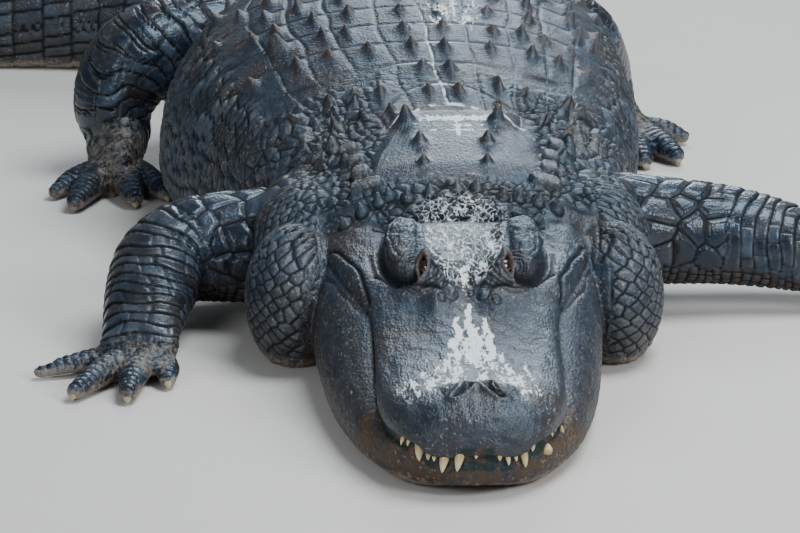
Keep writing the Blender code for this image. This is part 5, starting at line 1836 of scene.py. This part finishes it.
def skin_material():
    g = Graph("skin")
    groove, crease, tone, seam = g.channels("relief")
    salt, mud, brown, dark = g.channels("stains_and_shade")
    gloss, fine, crackle, limb = g.channels("kind")

    # The grain is drawn out along the head
    x, y, z = g.parts(g.place())
    ahead = g.math("MINIMUM", y + HEAD_GRAIN_FROM, 0.0)
    spot = g.join(x, y + ahead * -HEAD_GRAIN_DRAWN, z)
    broad = g.noise(14, 4, vector=spot)
    medium = g.noise(60, 5, 0.6, spot)
    small = g.noise(240, 4, 0.6, spot)
    grain = g.voronoi(330, spot)
    pits = g.voronoi(150, spot)
    streaks = g.noise(110, 4, 0.6, g.stretched((1.0, 0.22, 1.0)))

    # Slate, bluer on the limbs where the blue is partly painted reflection of a blue sky, browned in patches,
    # with pale creases and painted highlights on flank beads, and grooves darkened with painted shade
    light = tone * 0.40 + medium * 0.80
    colour = g.mix(g.step(light, 0.40, 0.95), SLATE, SLATE_LIGHT)
    # The limbs' blue is partly painted reflection of a blue sky
    limb_colour_and_sky_blue = g.mix(g.step(light, 0.45, 1.05), LEG_DARK_AND_SKY_BLUE, LEG_LIGHT_AND_SKY_BLUE)
    colour = g.mix(limb * 0.8, colour, limb_colour_and_sky_blue)
    patch = g.step(broad, 0.42, 0.66) * 0.35
    colour = g.mix(g.most(brown * g.step(medium, 0.25, 0.6), patch), colour, OLIVE)
    colour = g.mix(crease * g.step(medium, 0.35, 0.6), colour, PALE_CREASE_AND_HIGHLIGHT)
    # Painted shade: the grooves and creases are darkened nearly to black
    deep = g.step(groove, 0.14, 0.84)
    colour = g.mix(deep * 0.95, colour, PAINTED_CREVICE_SHADE)

    # Dried white: fine dust, worn strokes, a net on the skull table, and lines in the seams
    dust = g.step(small, 0.58, 0.68) * (g.step(broad, 0.38, 0.62) * 0.20)
    dust = dust * (1.0 - g.most(limb, deep))
    salt_wear_and_fold_shade = salt + (streaks * 2.8 + small * 1.6 - 2.22)
    white = g.step(salt_wear_and_fold_shade, 0.42, 0.58) * g.step(salt, 0.04, 0.25)
    warp = g.node("ShaderNodeTexNoise", {"Vector": spot, "Scale": 90.0}, "Color")
    net = g.voronoi(112, g.drift(0.012, spot, warp), "DISTANCE_TO_EDGE")
    thread = 1.0 - g.step(net, 0.02, 0.13)
    blotch = g.step(medium + crackle * 0.10, 0.66, 0.74)
    net_white = g.most(thread, blotch) * g.step(crackle, 0.15, 0.6)
    net_white = net_white * g.step(small + medium * 0.6, 0.66, 0.88)
    lines = g.step(seam, 0.35, 0.75) * g.step(medium, 0.40, 0.54)
    white = g.most(g.most(white, lines * 0.85), dust)
    white = g.most(white, net_white * 0.85)
    colour = g.mix(white, colour, SALT)

    # Mud on the feet and under the belly, the inside of the mouth, and painted shade in the nostril slits
    muddy = mud + (medium * 0.9 + small * 0.9) + groove * 0.15
    dirt = g.step(muddy, 1.02, 1.50) * g.step(mud, 0.02, 0.25)
    colour = g.mix(dirt * 0.8, colour, MUD)
    colour = g.mix(dark, colour, g.mix(g.step(medium, 0.50, 0.68), MOUTH, GUM))

    rough = g.blend(small, 0.30, 0.50)
    rough = g.blend(gloss * 0.75, rough, 0.21)
    rough = g.blend(g.most(white, dirt), rough, 0.85)
    rough = g.blend(brown * 0.6, rough, 0.70)
    rough = g.blend(deep, rough, 1.0)

    # Wrinkles, and strands that fan out over the nape's shield
    wrinkles = g.noise(170, 3, 0.6, g.stretched((0.30, 1.0, 1.0), spot), 0.8)
    strands = g.parts(g.vector("strands"))[0]
    fan = x / (STRANDS_MEET - y) * 0.25
    height = g.noise(260, 3, 0.6, g.join(fan, y * 0.05)) * strands * 1.3
    height = height + medium * 0.34
    height = height + wrinkles * (0.02 + fine * 0.45)
    height = height + small * 0.34
    height = height + grain * 0.28
    height = height + pits * 0.22
    height = height - groove * 0.6
    height = height + white * 0.12
    normal = g.bump(height, 0.72 - gloss * 0.40, 0.0030)
    return g.set(colour=colour, roughness=rough, normal=normal, specular=0.5, tint=SHEEN)


def horn_material(name, tip, root, dirt):
    g = Graph(name)
    along, number, _, _ = g.channels("horn")
    spots = g.noise(220, 4, 0.6)
    streaks = g.noise(420, 2, 0.5, g.stretched((1, 1, 0.25)))
    colour = g.mix(g.step(along + spots * 0.5, 0.25, 0.95), root, tip)
    colour = g.mix(g.step(number, 0.70, 0.95) * 0.55, colour, root)
    colour = g.mix(g.step(spots, 0.56, 0.70) * 0.5, colour, dirt)
    rough = g.blend(spots, 0.22, 0.45)
    normal = g.bump(streaks, 0.35, 0.0006)
    return g.set(colour=colour, roughness=rough, normal=normal, coat=0.25, subsurface=0.08)


def eye_material():
    """A brown iris with an upright slit for its pupil."""
    g = Graph("eye")
    x, y, _ = g.parts(g.vector("gaze"))
    wide = x * x * 60.0 + y * y * 4.0
    away = g.math("SQRT", x * x + y * y)
    colour = g.mix(g.noise(300, 4, 0.6), IRIS, IRIS_LIGHT)
    colour = g.mix(g.step(away, 0.50, 0.66), colour, EYE_RIM)
    colour = g.mix(g.step(wide, 0.7, 1.1), PUPIL, colour)
    return g.set(colour=colour, roughness=0.18, coat=0.6, coat_roughness=0.04)


def lid_material():
    g = Graph("eyelid")
    edge, _, _, _ = g.channels("lid")
    medium = g.noise(150, 4, 0.6)
    small = g.noise(600, 3, 0.6)
    pink = g.mix(medium, LID, LID_LIGHT)
    grey = g.mix(medium, SLATE, SLATE_LIGHT)
    colour = g.mix(g.step(edge + medium * 0.30, 1.32, 1.62), pink, grey)
    # Painted shade where the lids tuck against the eyeball
    colour = g.mix(g.step(edge, 0.90, 0.78), colour, PAINTED_CREVICE_SHADE)
    normal = g.bump(medium + small * 0.4, 0.7, 0.0016)
    return g.set(colour=colour, roughness=g.blend(small, 0.25, 0.5), normal=normal)


def floor_material():
    g = Graph("floor")
    return g.set(colour=g.mix(g.noise(3, 3), FLOOR, FLOOR_LIGHT), roughness=0.85)


# Stage


# The camera: place, turn to +X, tilt, and focal length in pixels of an 800-pixel picture
CAMERA_AT = (-0.276, -6.564, 1.75)
CAMERA_YAW = 2.04
CAMERA_PITCH = -15.55
FOCAL_PX = 4500
PICTURE_WIDTH = 800
SENSOR_WIDTH = 36

SKY = (0.80, 0.88, 1.0, 1)
SKY_STRENGTH = 0.22

# Lamps: name, place, aim, diameter, watts, colour
LAMPS = (
    ("top", (1.3, -0.4, 3.8), (0.0, -0.5, 0.0), 2.4, 180, (0.86, 0.94, 1.0)),
    ("rear", (0.6, 4.2, 2.6), (0.0, -0.6, 0.1), 2.2, 120, (0.82, 0.92, 1.0)),
    ("key", (2.8, -3.6, 2.4), (0.1, -0.8, 0.1), 1.6, 130, (0.95, 0.97, 1.0)),
    ("fill", (-2.2, -4.8, 2.2), (0.0, -0.8, 0.1), 1.8, 75, (0.90, 0.95, 1.0)),
)


def linked(name, data):
    """A new object in the scene."""
    obj = bpy.data.objects.new(name, data)
    bpy.context.scene.collection.objects.link(obj)
    return obj


def build_floor():
    """A pale floor with a raised far edge."""
    xs = np.array([-9.0, 9.0])
    y = np.concatenate([[-9.0], np.linspace(5.0, 8.0, 24)])
    z = np.concatenate([[0.0], 0.35 * np.linspace(0, 3.0, 24) ** 2])
    points = np.array([(a, b, c) for b, c in zip(y, z) for a in xs])
    quads = np.array([(2 * i, 2 * i + 1, 2 * i + 3, 2 * i + 2) for i in range(len(y) - 1)])
    floor = mesh_object("floor", points - (0, 0, 0.0003), quads)
    floor.data.materials.append(floor_material())
    floor.data.shade_smooth()


def build_lights():
    world = bpy.data.worlds.new("studio")
    bpy.context.scene.world = world
    world.use_nodes = True
    sky = world.node_tree.nodes["Background"]
    sky.inputs[0].default_value = SKY
    sky.inputs[1].default_value = SKY_STRENGTH
    for name, at, aim, size, power, colour in LAMPS:
        data = bpy.data.lights.new(name, "AREA")
        data.shape = "DISK"
        data.size = size
        data.energy = power
        data.color = colour
        lamp = linked(name, data)
        lamp.location = at
        lamp.rotation_euler = (Vector(aim) - Vector(at)).to_track_quat("-Z", "Y").to_euler()


def build_camera():
    """A camera where the photograph's was."""
    data = bpy.data.cameras.new("camera")
    data.sensor_width = SENSOR_WIDTH
    data.lens = FOCAL_PX * SENSOR_WIDTH / PICTURE_WIDTH
    data.clip_end = 60
    camera = linked("camera", data)
    yaw, pitch = math.radians(CAMERA_YAW), math.radians(CAMERA_PITCH)
    look = Vector((math.sin(yaw) * math.cos(pitch), math.cos(yaw) * math.cos(pitch), math.sin(pitch)))
    camera.location = CAMERA_AT
    camera.rotation_euler = look.to_track_quat("-Z", "Y").to_euler()
    bpy.context.scene.camera = camera


def main():
    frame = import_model()
    nodes = frame["nodes"]
    skin, places = build_skin()
    skin.data.materials.append(skin_material())
    flesh = [n for n in nodes if not n.startswith(("eye", "claw"))]
    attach(skin, "root")
    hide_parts(*flesh)
    teeth = build_teeth()
    teeth.data.materials.append(horn_material("tooth", *TOOTH_COLOURS))
    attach(teeth, "root")
    claws = build_claws()
    claws.data.materials.append(horn_material("claw", *CLAW_COLOURS))
    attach(claws, "root")
    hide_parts(*[n for n in nodes if n.startswith("claw")])
    for place, word in zip(places, ("right", "left")):
        eye = build_eye(place, f"eyeball_{word}")
        eye.data.materials.append(eye_material())
        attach(eye, "root")
        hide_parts(f"eye_{word}")
        lids = build_lids(place, f"eyelids_{word}")
        lids.data.materials.append(lid_material())
        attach(lids, "root")
    build_floor()
    build_lights()
    build_camera()


main()
